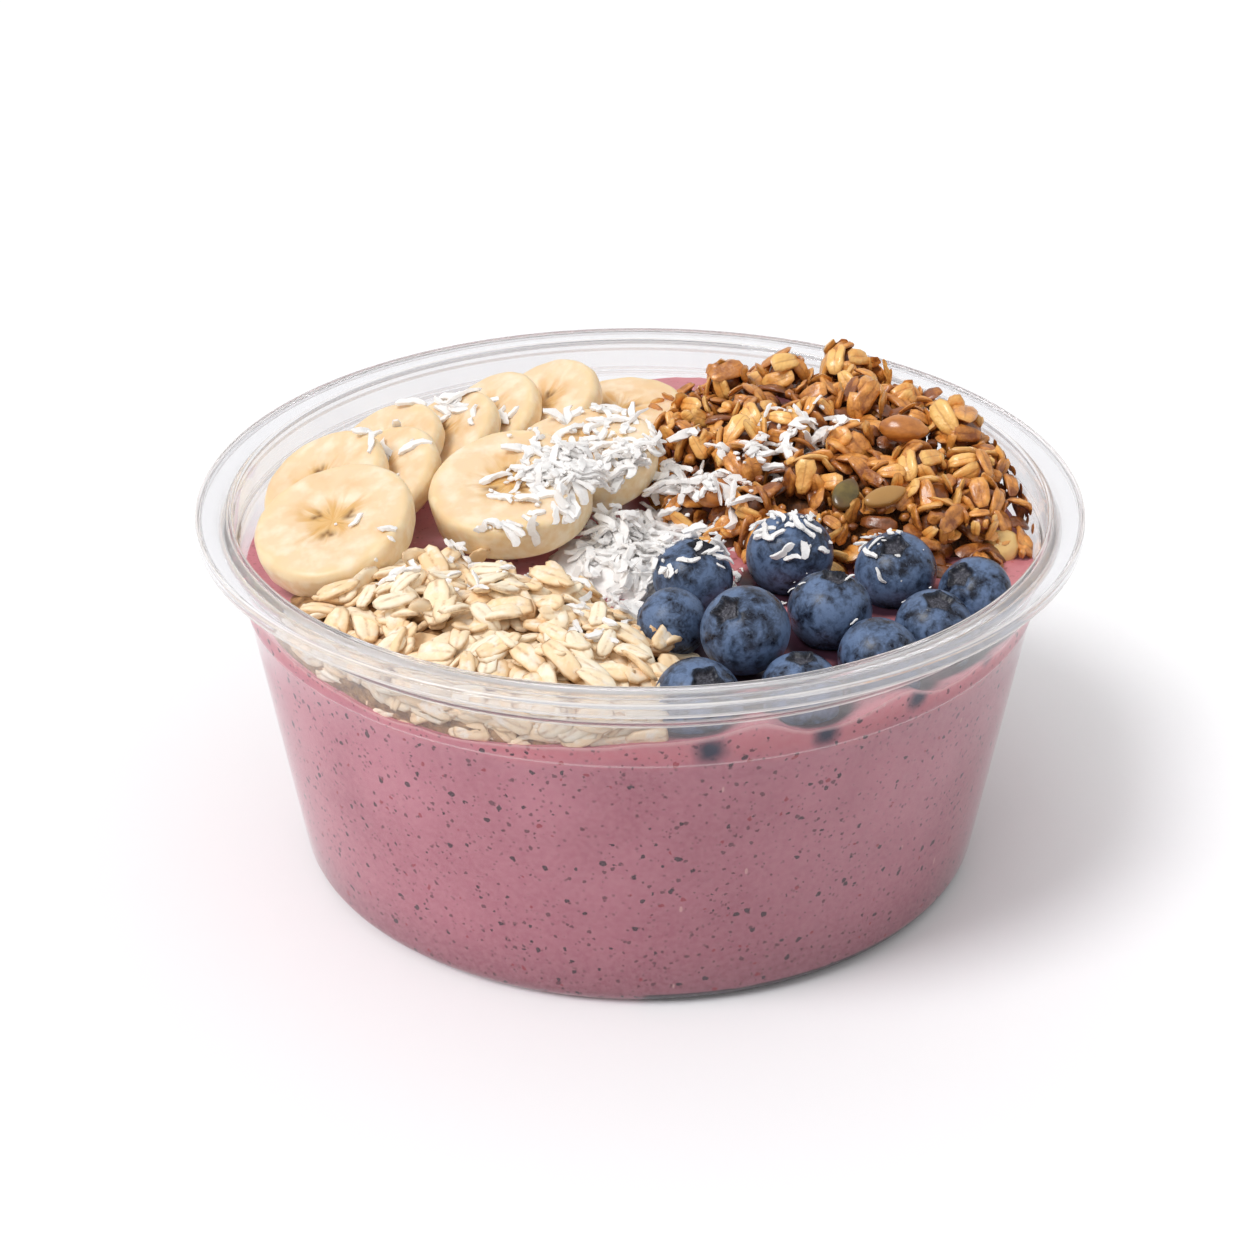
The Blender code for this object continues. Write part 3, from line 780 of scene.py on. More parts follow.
def smoothie_material(settings):
    """Thick pink fruit smoothie with dark and red specks and a coral band under the surface, with painted
    shade low down and around the berries and a painted highlight along its edge on the wall.
    """
    finish = Finish("smoothie")
    height = finish.parts(finish.place)["Z"]
    wavy = finish.plus(height, finish.range(finish.noise(60, 2), 0.3, 0.7, -1.5 * MM, 1.5 * MM))
    upper = finish.range(wavy, 53 * MM, 57.5 * MM, smooth=True)
    body = finish.over(settings.colour, settings.low_tone_and_shade, finish.noise(45, 3), 0.35, 0.65)
    # Painted shade: darker towards the bottom, most of all near the base
    body = finish.over(body, settings.low_tone_and_shade, height, 45 * MM, 0.0, 0.8)
    body = finish.over(body, srgb(150, 82, 98), height, 16 * MM, 0.0, 0.6, True)
    facing_up = finish.range(finish.parts(finish.add("NewGeometry").outputs["Normal"])["Z"], 0.3, 0.7)
    upper = finish.times(upper, finish.range(facing_up, 0.0, 1.0, 1.0, 0.15))
    colour = finish.mix(upper, body, settings.top_colour)
    colour = finish.over(colour, srgb(226, 168, 176), finish.noise(900, 2), 0.35, 0.65, 0.25)
    for scale, share, reach, turn, tone, strength in SPECKS:
        speck = finish.speckle(scale, share, reach, turn)
        colour = finish.mix(finish.times(speck, strength), colour, tone)
    streaky = finish.mapped(finish.place, scale=(1, 1, 0.35), rotation=(0.5, 0.4, 0))
    streak = finish.maths("LESS_THAN", finish.cells(190, streaky)["Distance"], 0.055)
    colour = finish.mix(finish.times(streak, 0.6), colour, srgb(240, 200, 196))
    blur = finish.range(finish.noise(300, 2), 0.3, 0.7, -0.12, 0.12)
    for x, y, z, size in BERRY_MARKS:
        away = finish.vector_maths("DISTANCE", finish.place, (x * MM, y * MM, z * MM), "Value")
        away = finish.plus(finish.maths("DIVIDE", away, size * MM), blur)
        colour = finish.over(colour, srgb(38, 42, 74), away, 1.35, 0.2, 1.0, True)
    # Painted highlight: a thin pale line where the smoothie meets the wall
    colour = finish.over(colour, srgb(246, 206, 206), finish.attribute("rise"), 0.90, 0.97, 0.55)
    colour = finish.mix(finish.times(facing_up, 0.55), colour, srgb(194, 122, 122))
    # Painted shade around and between the blueberries
    colour = finish.over(colour, srgb(44, 26, 40), finish.attribute("stain"), 0.12, 0.6, 0.96, True)
    finish.set(Base_Color=colour, Roughness=0.32, Specular_IOR_Level=0.4)
    finish.bump(finish.times(finish.noise(420, 3), facing_up), 0.25, 0.4 * MM)
    return finish.material


class ACAI_OT_smoothie(bpy.types.Operator):
    """Fill the bowl with smoothie, reaching just into the wall so that no gap shows"""
    bl_idname = "acai.smoothie"
    bl_label = "Smoothie"

    def execute(self, context):
        settings = context.scene.acai_smoothie
        lean, corner = bottom_corner()
        profile = [(0, SMOOTHIE_LEVEL)]
        profile += [(r * 1.2 * MM, SMOOTHIE_LEVEL) for r in range(1, 62)]
        profile += [(inner_radius(SMOOTHIE_LEVEL) + INTO_WALL, SMOOTHIE_LEVEL)]
        profile += [(inner_radius(z * MM) + INTO_WALL, z * MM) for z in (50, 40, 30, 20, 10)]
        profile += arc(corner, CORNER_RADIUS - WALL + INTO_WALL, -lean, -90, 6)
        profile += [(0, WALL - INTO_WALL)]
        bm = turned(profile, settings.steps)
        for v in bm.verts:
            if v.co.z > SMOOTHIE_LEVEL - 0.01 * MM:
                reach = hypot(v.co.x, v.co.y)
                z = level(v.co.x, v.co.y)
                z += 0.5 * MM * noise.noise(v.co / (7 * MM))
                z += 0.2 * MM * noise.noise(v.co / (2.5 * MM))
                if reach > inner_radius(SMOOTHIE_LEVEL):
                    grow = (inner_radius(z) + INTO_WALL) / reach
                    v.co.x *= grow
                    v.co.y *= grow
                v.co.z = z
        berries = [berry_facts("blueberry_%d" % number)[:2] for number in range(1, BERRIES + 1)]
        rise = []
        stain = []
        for v in bm.verts:
            at_wall = hypot(v.co.x, v.co.y) > inner_radius(v.co.z) + 0.1 * MM
            # Rise marks the smoothie's edge on the wall, where the painted highlight goes
            rise.append(1.0 if at_wall and v.co.z > SMOOTHIE_LEVEL - 5 * MM else 0.0)
            # Painted shade: how much the berries around darken the smoothie's top
            clear = 1.0
            for centre, radius in berries:
                gap = max(0.0, (v.co.xy - centre.xy).length - 0.75 * radius) / BERRY_SHADE_REACH
                clear *= 1 - 0.9 * exp(-gap * gap)
            stain.append(0.0 if at_wall else 1 - clear)
        mesh = mesh_from(bm, "smoothie_fill")
        add_values(mesh, rise=rise, stain=stain)
        add_piece(mesh, smoothie_material(settings), "smoothie", sharp=60)
        return {"FINISHED"}


# Banana slices


def slice_facts(node):
    """Centre of the underside, upward normal, radius and thickness of a banana solid."""
    mesh = frame["nodes"][node].data
    groups = {}
    for face in mesh.polygons:
        key = tuple(round(part, 2) for part in face.normal)
        groups.setdefault(key, []).append(face)
    flat = sorted(groups.values(), key=lambda faces: -sum(face.area for face in faces))
    under = next(faces for faces in flat if faces[0].normal.z < -0.5)
    normal = -under[0].normal
    top = next(faces for faces in flat if faces[0].normal.dot(normal) > 0.98)
    corners = {tuple(round(c, 6) for c in mesh.vertices[i].co) for face in under for i in face.vertices}
    points = [Vector(corner) for corner in corners]
    centre = sum(points, Vector()) / len(points)
    reach = sum((point - centre).length for point in points) / len(points)
    radius = (reach + SLICE_BEVEL) / SLICE_TAPER
    thickness = (mesh.vertices[top[0].vertices[0]].co - centre).dot(normal)
    return centre, normal, radius, thickness


def banana_material(settings):
    """Moist cut banana: cream flesh, streaks out of a honey core, and three seed marks."""
    finish = Finish("banana")
    place = finish.attribute("place", "Vector")
    tone = finish.attribute("tone")
    x, y, z = finish.parts(place)
    flat = finish.joined(x, y)
    out = finish.vector_maths("LENGTH", flat, output="Value")
    way = finish.parts(finish.vector_maths("NORMALIZE", flat))
    ray = finish.joined(way[0], way[1], finish.plus(finish.times(out, 0.9), finish.times(tone, 9.0)))
    streaks = finish.noise(2.6, 2, 0.5, ray, 0.6)
    fine = finish.noise(6.0, 2, 0.6, ray, 0.6)
    mottled = finish.noise(500, 3)
    face = finish.range(z, 0.75, 0.95)
    uneven = finish.plus(out, finish.range(finish.noise(160, 2), 0.3, 0.7, -0.12, 0.12))
    colour = finish.over(settings.flesh, srgb(253, 240, 218), finish.noise(240, 3), 0.45, 0.65, 0.6)
    colour = finish.over(colour, settings.core, finish.noise(110, 2), 0.48, 0.66, 0.3)
    rim = finish.range(uneven, 0.78, 1.0, smooth=True)
    colour = finish.mix(finish.times(rim, 0.8), colour, settings.edge)
    colour = finish.over(colour, srgb(250, 228, 192), uneven, 0.97, 1.02, 0.5)
    inner = finish.range(uneven, 0.66, 0.24, 0.0, 1.0, smooth=True)
    streaked = finish.times(inner, finish.range(streaks, 0.40, 0.64, 0.0, 1.0, smooth=True))
    colour = finish.over(colour, srgb(228, 180, 106), uneven, 0.46, 0.12, 0.7, True)
    colour = finish.mix(finish.times(streaked, 0.8), colour, settings.core)
    thread = finish.range(fine, 0.56, 0.66, 0.0, 1.0)
    thread = finish.times(thread, finish.range(out, 0.40, 0.16, 0.0, 0.22, smooth=True))
    thread = finish.times(thread, finish.range(out, 0.03, 0.10))
    colour = finish.mix(thread, colour, settings.seed)
    colour = finish.mix(finish.times(finish.attribute("seeds"), face), colour, settings.seed)
    side = finish.over(settings.edge, srgb(250, 230, 198), mottled, 0.35, 0.65)
    colour = finish.mix(face, side, colour)
    finish.set(Base_Color=colour, Roughness=0.38, Subsurface_Weight=0.35, Subsurface_Scale=3 * MM,
               Subsurface_Radius=(1.0, 0.75, 0.4), Specular_IOR_Level=0.45)
    finish.bump(finish.plus(finish.times(streaks, inner), finish.times(mottled, 0.6)), 0.25, 0.3 * MM)
    return finish.material


def slice_profile(radius, thickness):
    """Half outline of a slice, from the middle of its face over the edge to its underside."""
    edge = 1.5 * MM
    profile = [(0, thickness)]
    profile += [(radius * part, thickness) for part in
                (0.05, 0.10, 0.15, 0.20, 0.25, 0.31, 0.38, 0.45, 0.54, 0.63, 0.72, 0.80)]
    profile += arc((radius - edge, thickness - edge), edge, 90, 0, 6)
    profile += [(radius * 0.99, thickness * 0.5)]
    profile += arc((radius * 0.97 - edge, edge), edge, 0, -90, 4)
    return profile + [(radius * 0.5, 0), (0, 0)]


def banana_slice(number, facts, settings, material):
    """One slice, set where its solid is."""
    centre, normal, radius, thickness = facts
    rng = random.Random(200 + number)
    bm = turned(slice_profile(radius, thickness), settings.steps)
    phase = rng.uniform(0, tau)
    tone = rng.uniform(0, 1)
    shift = Vector((number * 3.7, tone * 11, 0))
    seed_angles = [phase + i * tau / 3 + rng.uniform(-0.2, 0.2) for i in range(3)]
    seed_points = []
    for angle in seed_angles:
        for reach, spread in ((0.19, 0.0), (0.24, 0.22), (0.27, -0.15)):
            spot = Vector((cos(angle + spread), sin(angle + spread))) * reach
            seed_points.append((spot, rng.uniform(0.03, 0.055)))
    place = []
    seeds = []
    for v in bm.verts:
        x = v.co.x / radius
        y = v.co.y / radius
        out = hypot(x, y)
        angle = atan2(y, x)
        place.append((x, y, v.co.z / thickness))
        dark = 0.0
        for spot, size in seed_points:
            dark = max(dark, exp(-((Vector((x, y)) - spot).length / size) ** 2))
        seeds.append(dark)
        wobble = 1 + 0.025 * cos(2 * angle + number) + 0.018 * cos(3 * angle + 2.3 * number)
        wobble += 0.008 * noise.noise(shift + Vector((3 * cos(angle), 3 * sin(angle), 0)))
        if v.co.z > thickness * 0.9:
            lobes = 0.40 + 0.05 * cos(3 * (angle - phase))
            sunk = 1 / (1 + exp((out - lobes) / 0.035))
            dome = 0.35 * MM * (1 - (2 * out - 1.25) ** 2)
            relief = 0.22 * MM * noise.noise(shift + Vector((4 * x, 4 * y, 0)))
            sway = 2 * noise.noise(shift + Vector((x, y, 1)) * 3)
            rays = 0.06 * MM * sunk * cos(9 * angle + sway)
            rays *= 0.5 * min(1.0, out / 0.3) ** 2
            v.co.z += dome - 0.45 * MM * sunk + relief + rays - 0.15 * MM * dark
        elif v.co.z > thickness * 0.1:
            wobble += 0.006 * cos(11 * angle + number)
        v.co.x *= wobble
        v.co.y *= wobble
    bm.transform(pose(centre, normal))
    mesh = mesh_from(bm, "banana_slice_%d" % number)
    add_attributes(mesh, place, np.full(len(place), tone))
    add_values(mesh, seeds=seeds)
    add_piece(mesh, material, "banana", "banana_%d" % number, 70)


class ACAI_OT_bananas(bpy.types.Operator):
    """Build the fan of banana slices"""
    bl_idname = "acai.bananas"
    bl_label = "Banana slices"

    def execute(self, context):
        settings = context.scene.acai_banana
        material = banana_material(settings)
        for number in range(1, SLICES + 1):
            banana_slice(number, slice_facts("banana_%d" % number), settings, material)
        return {"FINISHED"}


# Blueberries


def berry_facts(node):
    """Centre, radius and crown direction of a blueberry solid, its coconut shreds left aside."""
    points = np.array([v.co for v in frame["nodes"][node].data.vertices], float)
    used = points
    for _ in range(4):
        table = np.column_stack((2 * used, np.ones(len(used))))
        answer = np.linalg.lstsq(table, (used ** 2).sum(axis=1), rcond=None)[0]
        centre = answer[:3]
        radius = sqrt(answer[3] + centre @ centre)
        off = np.abs(np.linalg.norm(points - centre, axis=1) - radius)
        used = points[off < 0.09 * radius]
    reach = np.linalg.norm(points - centre, axis=1)
    crown = Vector(points[reach.argmin()] - centre).normalized()
    return Vector(centre), radius, crown


def berry_material(settings):
    """Dark blue skin under a dusty, rubbed bloom, with a dry crown."""
    finish = Finish("blueberry")
    shift = finish.joined(finish.times(finish.attribute("tone"), 7.0))
    place = finish.vector_maths("ADD", finish.attribute("place", "Vector"), shift)
    wide = finish.noise(1.6, 3, 0.6, place, 0.4)
    rubbed = finish.noise(5.0, 4, 0.65, place, 0.6)
    scratch = finish.noise(14, 3, 0.6, place, 0.8)
    dust = finish.plus(finish.times(wide, 0.65), finish.times(rubbed, 0.45))
    colour = finish.over(settings.skin, settings.bloom, dust, 0.40, 0.68, 0.92, True)
    colour = finish.over(colour, srgb(22, 26, 42), scratch, 0.56, 0.74, 0.4)
    colour = finish.over(colour, srgb(132, 148, 176), scratch, 0.40, 0.28, 0.4)
    inside = finish.over(settings.crown, srgb(28, 26, 34), scratch, 0.35, 0.65)
    colour = finish.over(colour, inside, finish.attribute("crown"), 0.35, 0.75)
    colour = finish.mix(finish.attribute("sepal"), colour, srgb(14, 15, 24))
    gloss = finish.range(dust, 0.42, 0.70, 0.26, 0.5)
    finish.set(Base_Color=colour, Roughness=gloss, Specular_IOR_Level=0.32)
    finish.bump(finish.noise(30, 3, 0.6, place), 0.12, 0.15 * MM)
    return finish.material


def star(angle, phase, seed):
    """How far the crown's ragged points reach, from 0 between them to 1 at a tip."""
    turn = (angle - phase) * 5 / tau
    point = 1 - 2 * abs(turn - floor(turn) - 0.5)
    rag = noise.noise(seed + Vector((2.5 * cos(angle), 2.5 * sin(angle), 0)))
    return max(0.0, min(1.0, (1 - point) ** 1.4 + 0.35 * rag))


def blueberry(number, facts, settings, material):
    """One berry, with its crown turned as its solid has it."""
    centre, radius, direction = facts
    rng = random.Random(300 + number)
    rings = list(range(0, 34, 2)) + [36, 41, 47, 54, 62, 71, 81, 91, 102, 113, 125, 137, 149]
    rings += [160, 170, 180]
    profile = [(radius * sin(radians(a)), radius * cos(radians(a))) for a in rings]
    profile[0] = (0, radius)
    profile[-1] = (0, -radius)
    bm = turned(profile, settings.steps)
    seed = Vector((number * 5.3, 0, rng.uniform(0, 50)))
    phase = rng.uniform(0, tau)
    lip_angle = rng.uniform(15.0, 19.0)
    place = []
    crown = []
    sepal = []
    for v in bm.verts:
        way = v.co.normalized()
        place.append(tuple(way))
        polar = degrees(acos(max(-1.0, min(1.0, way.z))))
        angle = atan2(way.y, way.x)
        reach = lip_angle + 7.0 * star(angle, phase, seed)
        inside = 1 / (1 + exp((polar - reach) / 0.7))
        lip = exp(-((polar - reach - 0.5) / 2.6) ** 2)
        scale = 1 - 0.06 * way.z * way.z - 0.035 * exp(-(polar / 34) ** 2)
        scale += 0.012 * noise.noise(seed + way * 1.3)
        scale += 0.075 * lip * (0.6 + 0.4 * star(angle, phase, seed)) - 0.14 * inside
        scale += 0.02 * inside * noise.noise(seed + way * 14)
        v.co = way * radius * scale
        crown.append(inside)
        sepal.append(lip)
    bm.transform(pose(centre, direction))
    mesh = mesh_from(bm, "berry_%d" % number)
    add_attributes(mesh, place, np.full(len(place), rng.uniform(0, 1)))
    add_values(mesh, crown=crown, sepal=sepal)
    add_piece(mesh, material, "blueberry", "blueberry_%d" % number)


class ACAI_OT_blueberries(bpy.types.Operator):
    """Build the blueberries with their crowns and bloom"""
    bl_idname = "acai.blueberries"
    bl_label = "Blueberries"

    def execute(self, context):
        settings = context.scene.acai_berry
        material = berry_material(settings)
        for number in range(1, BERRIES + 1):
            blueberry(number, berry_facts("blueberry_%d" % number), settings, material)
        return {"FINISHED"}


# Granola

# Whole nuts: place in plan, length, width, direction, height over the heap, all in millimetres
Nut = namedtuple("Nut", "x y length width turn lift")
NUTS = (
    Nut(51.0, 20.0, 9.6, 5.8, -10, 0.6),
    Nut(14.5, 8.5, 7.6, 5.6, 30, 0.2),
)
SEEDS = (
    Nut(38.6, 1.0, 7.6, 5.0, 65, -0.6),
    Nut(46.0, 0.0, 9.0, 4.0, 25, -0.6),
)

# The clusters that face the front: place in plan, size, height of the middle over the heap
Cluster = namedtuple("Cluster", "x y size lift")
CLUSTERS = (
    Cluster(18, 57, 12, -0.5),
    Cluster(30, 58, 12, -1),
    Cluster(43, 60, 13.5, 0),
    Cluster(51, 60, 11, -1),
    Cluster(10, 47, 11, -3),
    Cluster(6, 43, 8, -2),
    Cluster(21, 45, 11, -3),
    Cluster(18.5, 27, 12, -3.5),
    Cluster(28, 28, 12, -3.5),
    Cluster(36, 43, 12, -3),
    Cluster(53, 43, 10, -3.5),
    Cluster(63, 27, 13.5, -2.5),
    Cluster(53.5, 12, 13, -3),
    Cluster(64, 13, 11.5, -3.5),
    Cluster(68, 16, 8, -3),
    Cluster(32, 11, 12.5, -3.5),
    Cluster(41, 21, 12, -3.5),
    Cluster(47, 8, 9, -3.5),
    Cluster(55, 2, 12, -3),
    Cluster(65, 4, 11.5, -3),
    Cluster(56, -4, 11, -2.5),
    Cluster(4, 19, 10, -2),
    Cluster(20, 5, 11, -3),
    Cluster(64, -4, 7, -1),
    Cluster(38.5, 1, 9, -4),
    Cluster(11, 28, 10, -2.5),
)


def toasted_material(settings):
    """Honey-glazed toasted oats, each flake with its own tone and a dark crease, darkened by painted shade
    where its tone is low.
    """
    finish = Finish("granola")
    _, y, z = finish.parts(finish.attribute("place", "Vector"))
    mottled = finish.noise(420, 4, 0.6)
    blend = finish.plus(finish.attribute("tone"), finish.range(mottled, 0.3, 0.7, -0.3, 0.3))
    # A low tone, from the painted shade deep in the heap and in each cluster, goes to dark and then deep
    colour = finish.over(settings.dark, settings.golden, blend, 0.0, 0.55)
    colour = finish.over(colour, settings.pale, blend, 0.5, 1.1)
    colour = finish.over(colour, settings.deep, blend, 0.05, -0.6)
    crease = finish.range(finish.maths("ABSOLUTE", y), 0.14, 0.0, 0.0, 0.35, smooth=True)
    crease = finish.times(crease, finish.range(z, 0.1, 0.6))
    colour = finish.mix(crease, colour, settings.dark)
    colour = finish.over(colour, settings.dark, finish.maths("ABSOLUTE", z), 0.5, 0.0, 0.45)
    finish.set(Base_Color=colour, Roughness=finish.range(mottled, 0.3, 0.7, 0.30, 0.50),
               Specular_IOR_Level=0.5, Coat_Weight=0.6, Coat_Roughness=0.2)
    finish.bump(finish.plus(finish.noise(900, 3, 0.6), finish.noise(420, 2)), 0.7, 0.45 * MM)
    return finish.material


def nut_material():
    """Glazed brown nut skin with fine lengthwise wrinkles."""
    finish = Finish("nut_skin")
    grain = finish.noise(260, 3, 0.6, finish.mapped(finish.place, scale=(1, 1, 2)))
    colour = finish.over(srgb(160, 92, 36), srgb(218, 142, 66), grain, 0.3, 0.7)
    colour = finish.over(colour, srgb(236, 196, 124), finish.attribute("tone"), 0.5, 1.0)
    finish.set(Base_Color=colour, Roughness=0.32, Coat_Weight=0.4, Coat_Roughness=0.2)
    finish.bump(finish.noise(700, 3), 0.3, 0.3 * MM)
    return finish.material


def green_seed_material():
    """Olive-green pumpkin seed, darker at its rim."""
    finish = Finish("pumpkin_seed")
    x, _, z = finish.parts(finish.attribute("place", "Vector"))
    grain = finish.noise(380, 3)
    colour = finish.over(srgb(70, 58, 22), srgb(122, 102, 48), grain, 0.3, 0.7)
    colour = finish.over(colour, srgb(96, 60, 26), finish.maths("ABSOLUTE", x), 0.35, 0.95, 0.8)
    colour = finish.over(colour, srgb(120, 80, 36), finish.maths("ABSOLUTE", z), 0.35, 0.05, 0.6)
    tan = finish.times(finish.attribute("tone"), 0.8)
    colour = finish.mix(tan, colour, srgb(190, 140, 76))
    finish.set(Base_Color=colour, Roughness=0.3, Coat_Weight=0.3)
    finish.bump(grain, 0.3, 0.3 * MM)
    return finish.material


def painted_shade_core_material(name, light, dark):
    """The rough inside of a heap, dark as painted shade between its pieces."""
    finish = Finish(name)
    colour = finish.over(dark, light, finish.noise(700, 4, 0.6), 0.35, 0.65)
    finish.set(Base_Color=colour, Roughness=0.7)
    finish.bump(finish.cells(420)["Distance"], 0.8, 1.0 * MM)
    return finish.material


def cluster_shape(rng, size):
    """A cluster: toasted flakes and bits stuck all round a small lump, darker towards its middle as
    painted shade.
    """
    heap = Heap()
    core = lump_shape(rng, size * 0.64, (1, 0.9, 0.8), 0.35)
    heap.add(core, Matrix.Identity(4), 0.25)
    bits = rng.randint(11, 14)
    start = rng.uniform(0, tau)
    for i in range(bits):
        height = 1 - 2 * (i + 0.5) / bits
        if height < -0.65:
            continue
        flat = sqrt(1 - height * height)
        turn = start + i * GOLDEN
        way = Vector((flat * cos(turn), flat * sin(turn) * 0.95, height * 0.85))
        tone = rng.uniform(0.35, 1.15)
        lean = rng.uniform(0.0, 0.65)
        if rng.random() < 0.16:
            bit = lump_shape(rng, size * rng.uniform(0.2, 0.34), (1, 0.8, 0.7), 0.45)
            reach = 0.38
        else:
            length = size * rng.uniform(0.46, 0.68)
            width = length * rng.uniform(0.44, 0.62)
            thickness = length * rng.uniform(0.15, 0.20)
            crease = rng.uniform(0.3, 0.7)
            curl = rng.uniform(-0.05, 0.14)
            bit = flake_shape(rng, length, width, thickness, crease, curl, 0.3)
            reach = rng.uniform(0.33, 0.42)
        heap.add(bit, pose(way * size * reach, way.normalized(), any_turn(rng), lean, any_turn(rng)), tone)
    made = heap.shape()
    # Painted shade: a lower tone towards the cluster's middle
    out = np.linalg.norm(made.points, axis=1) / (0.5 * size)
    return made._replace(tone=made.tone - 1.5 * np.clip(0.95 - out, 0, 1))


def nut_shape(rng, length, width):
    """A whole nut: plump, with one pointed end and faint wrinkles."""
    bm = unit_ball(28, 18)
    bm.transform(Matrix.Rotation(pi / 2, 4, "Y"))
    seed = Vector((rng.uniform(0, 99), 0, 0))
    place = []
    for v in bm.verts:
        place.append(tuple(v.co))
        point = v.co.x
        narrow = 1 - 0.22 * max(0.0, point) ** 2 - 0.06 * point
        rough = 1 + 0.05 * noise.noise(seed + Vector((v.co.x * 1.5, v.co.y * 4, v.co.z * 4)))
        v.co = (point * length / 2 * rough, v.co.y * width / 2 * narrow * rough,
                v.co.z * width * 0.45 * narrow * rough)
    return shape_from(bm, place)


def seed_shape(length, width):
    """A pumpkin seed: a flat pointed oval with a raised rim."""
    bm = unit_ball(24, 12)
    place = []
    for v in bm.verts:
        x, y, z = v.co
        place.append((x, y, z))
        narrow = 1 - 0.35 * max(0.0, x) ** 2
        height = copysign(abs(z) ** 0.6, z) * 1.1 * MM if z else 0.0
        v.co = (x * length / 2, y * width / 2 * narrow, height)
    return shape_from(bm, place)


def on_heap(mound, nut):
    found = mound_top(mound, nut.x * MM, nut.y * MM)
    if not found:
        raise RuntimeError("a nut or seed lies off the heap")
    point, normal = found
    return point + normal * nut.lift * MM, normal


class ACAI_OT_granola(bpy.types.Operator):
    """Build the granola heap from clusters, loose flakes, nuts and seeds"""
    bl_idname = "acai.granola"
    bl_label = "Granola"

    def execute(self, context):
        settings = context.scene.acai_granola
        painted_shade_core = painted_shade_core_material("granola_core", srgb(130, 76, 32), srgb(66, 36, 16))
        add_piece(mound_core(GRANOLA, "granola_core", 2.6 * MM, 3.5 * MM, 6.5, 0.5), painted_shade_core, "granola")
        toasted = toasted_material(settings)
        rng = random.Random(41)
        self.clusters(settings, rng, toasted)
        self.loose_flakes(rng, toasted)
        self.nuts_and_seeds(rng)
        return {"FINISHED"}

    def clusters(self, settings, rng, material):
        """The listed clusters, and random ones wherever there is room between them."""
        size = settings.cluster_size
        variants = [cluster_shape(rng, size) for _ in range(10)]
        taken = [(on_heap(GRANOLA, nut)[0], 0.30 * size) for nut in NUTS + SEEDS]
        heap = Heap()
        for number, cluster in enumerate(CLUSTERS):
            point, normal = on_heap(GRANOLA, cluster)
            point.z = min(point.z, TOP_OF_ALL - 0.48 * cluster.size * MM)
            taken.append((point, 0.37 * cluster.size * MM))
            place = pose(point, (normal + UP).normalized(), any_turn(rng), rng.uniform(0, 0.6),
                         any_turn(rng), cluster.size * MM / size)
            heap.add(variants[number % len(variants)], place, rng.uniform(-0.1, 0.2))
        spots = list(over_mound(GRANOLA, settings.clusters, rng, 2.0))
        rng.shuffle(spots)
        for spot in spots:
            found = mound_top(GRANOLA, spot.x, spot.y)
            scale = rng.uniform(0.7, 1.15)
            reach = 0.38 * size * scale
            if not found or spot.length > HEAP_REACH - 0.32 * size * scale:
                continue
            point, normal = found
            normal = (normal + UP * 0.3).normalized()
            point -= normal * rng.uniform(0.20, 0.36) * size * scale
            point.z = min(point.z, TOP_OF_ALL - 0.5 * size * scale)
            if any((point - other).length < reach + gap for other, gap in taken):
                continue
            taken.append((point, reach))
            shape = rng.choice(variants)
            place = pose(point, normal, any_turn(rng), rng.uniform(0, 0.6), any_turn(rng), scale)
            heap.add(shape, place, rng.uniform(-0.2, 0.15))
        heap.paint_depth_shade(GRANOLA, 6 * MM, 0.45)
        add_piece(heap.mesh("granola_clusters"), material, "granola", sharp=60)

    def loose_flakes(self, rng, material):
        """Flakes and bits that fill the gaps between the clusters."""
        flakes = []
        for _ in range(10):
            length = rng.uniform(6.0, 8.5) * MM
            flakes.append(flake_shape(rng, length, rng.uniform(3, 4.4) * MM, 1.2 * MM, uneven=0.16))
        bits = [lump_shape(rng, 2.6 * MM, (1, 0.8, 0.7), 0.4, detail=1) for _ in range(6)]
        heap = Heap()
        for spot in over_mound(GRANOLA, 420, rng, 2.5):
            found = mound_top(GRANOLA, spot.x, spot.y)
            if not found:
                continue
            point, normal = found
            lift = rng.uniform(-5.0, -2.0) * MM
            shape = rng.choice(flakes) if rng.random() < 0.7 else rng.choice(bits)
            place = pose(point + normal * lift, normal, any_turn(rng), rng.uniform(0, 0.9),
                         any_turn(rng), rng.uniform(0.8, 1.2))
            heap.add(shape, place, rng.uniform(0.2, 1.0))
        heap.paint_depth_shade(GRANOLA, 5 * MM, 0.8)
        add_piece(heap.mesh("granola_loose"), material, "granola", sharp=60)

    def nuts_and_seeds(self, rng):
        """The whole nuts, a pale half nut beside the heap, and the pumpkin seeds."""
        nuts = Heap()
        for nut in NUTS:
            point, normal = on_heap(GRANOLA, nut)
            shape = nut_shape(rng, nut.length * MM, nut.width * MM)
            place = pose(point, (normal + UP).normalized(), radians(nut.turn))
            nuts.add(shape, place, rng.uniform(0, 0.5))
        pale = Vector((68.0, -2.0, 0)) * MM
        pale.z = level(pale.x, pale.y) + 1.6 * MM
        place = pose(pale, Vector((-0.3, -0.5, 1)).normalized(), 0.6)
        nuts.add(nut_shape(rng, 7.6 * MM, 7.0 * MM), place, 1.0)
        add_piece(nuts.mesh("granola_nuts"), nut_material(), "granola")
        seeds = Heap()
        for tan, seed in enumerate(SEEDS):
            point, normal = on_heap(GRANOLA, seed)
            place = pose(point, (normal + UP).normalized(), radians(seed.turn), 0.4, 0.3)
            seeds.add(seed_shape(seed.length * MM, seed.width * MM), place, tan)
        add_piece(seeds.mesh("granola_seeds"), green_seed_material(), "granola")


# Oats


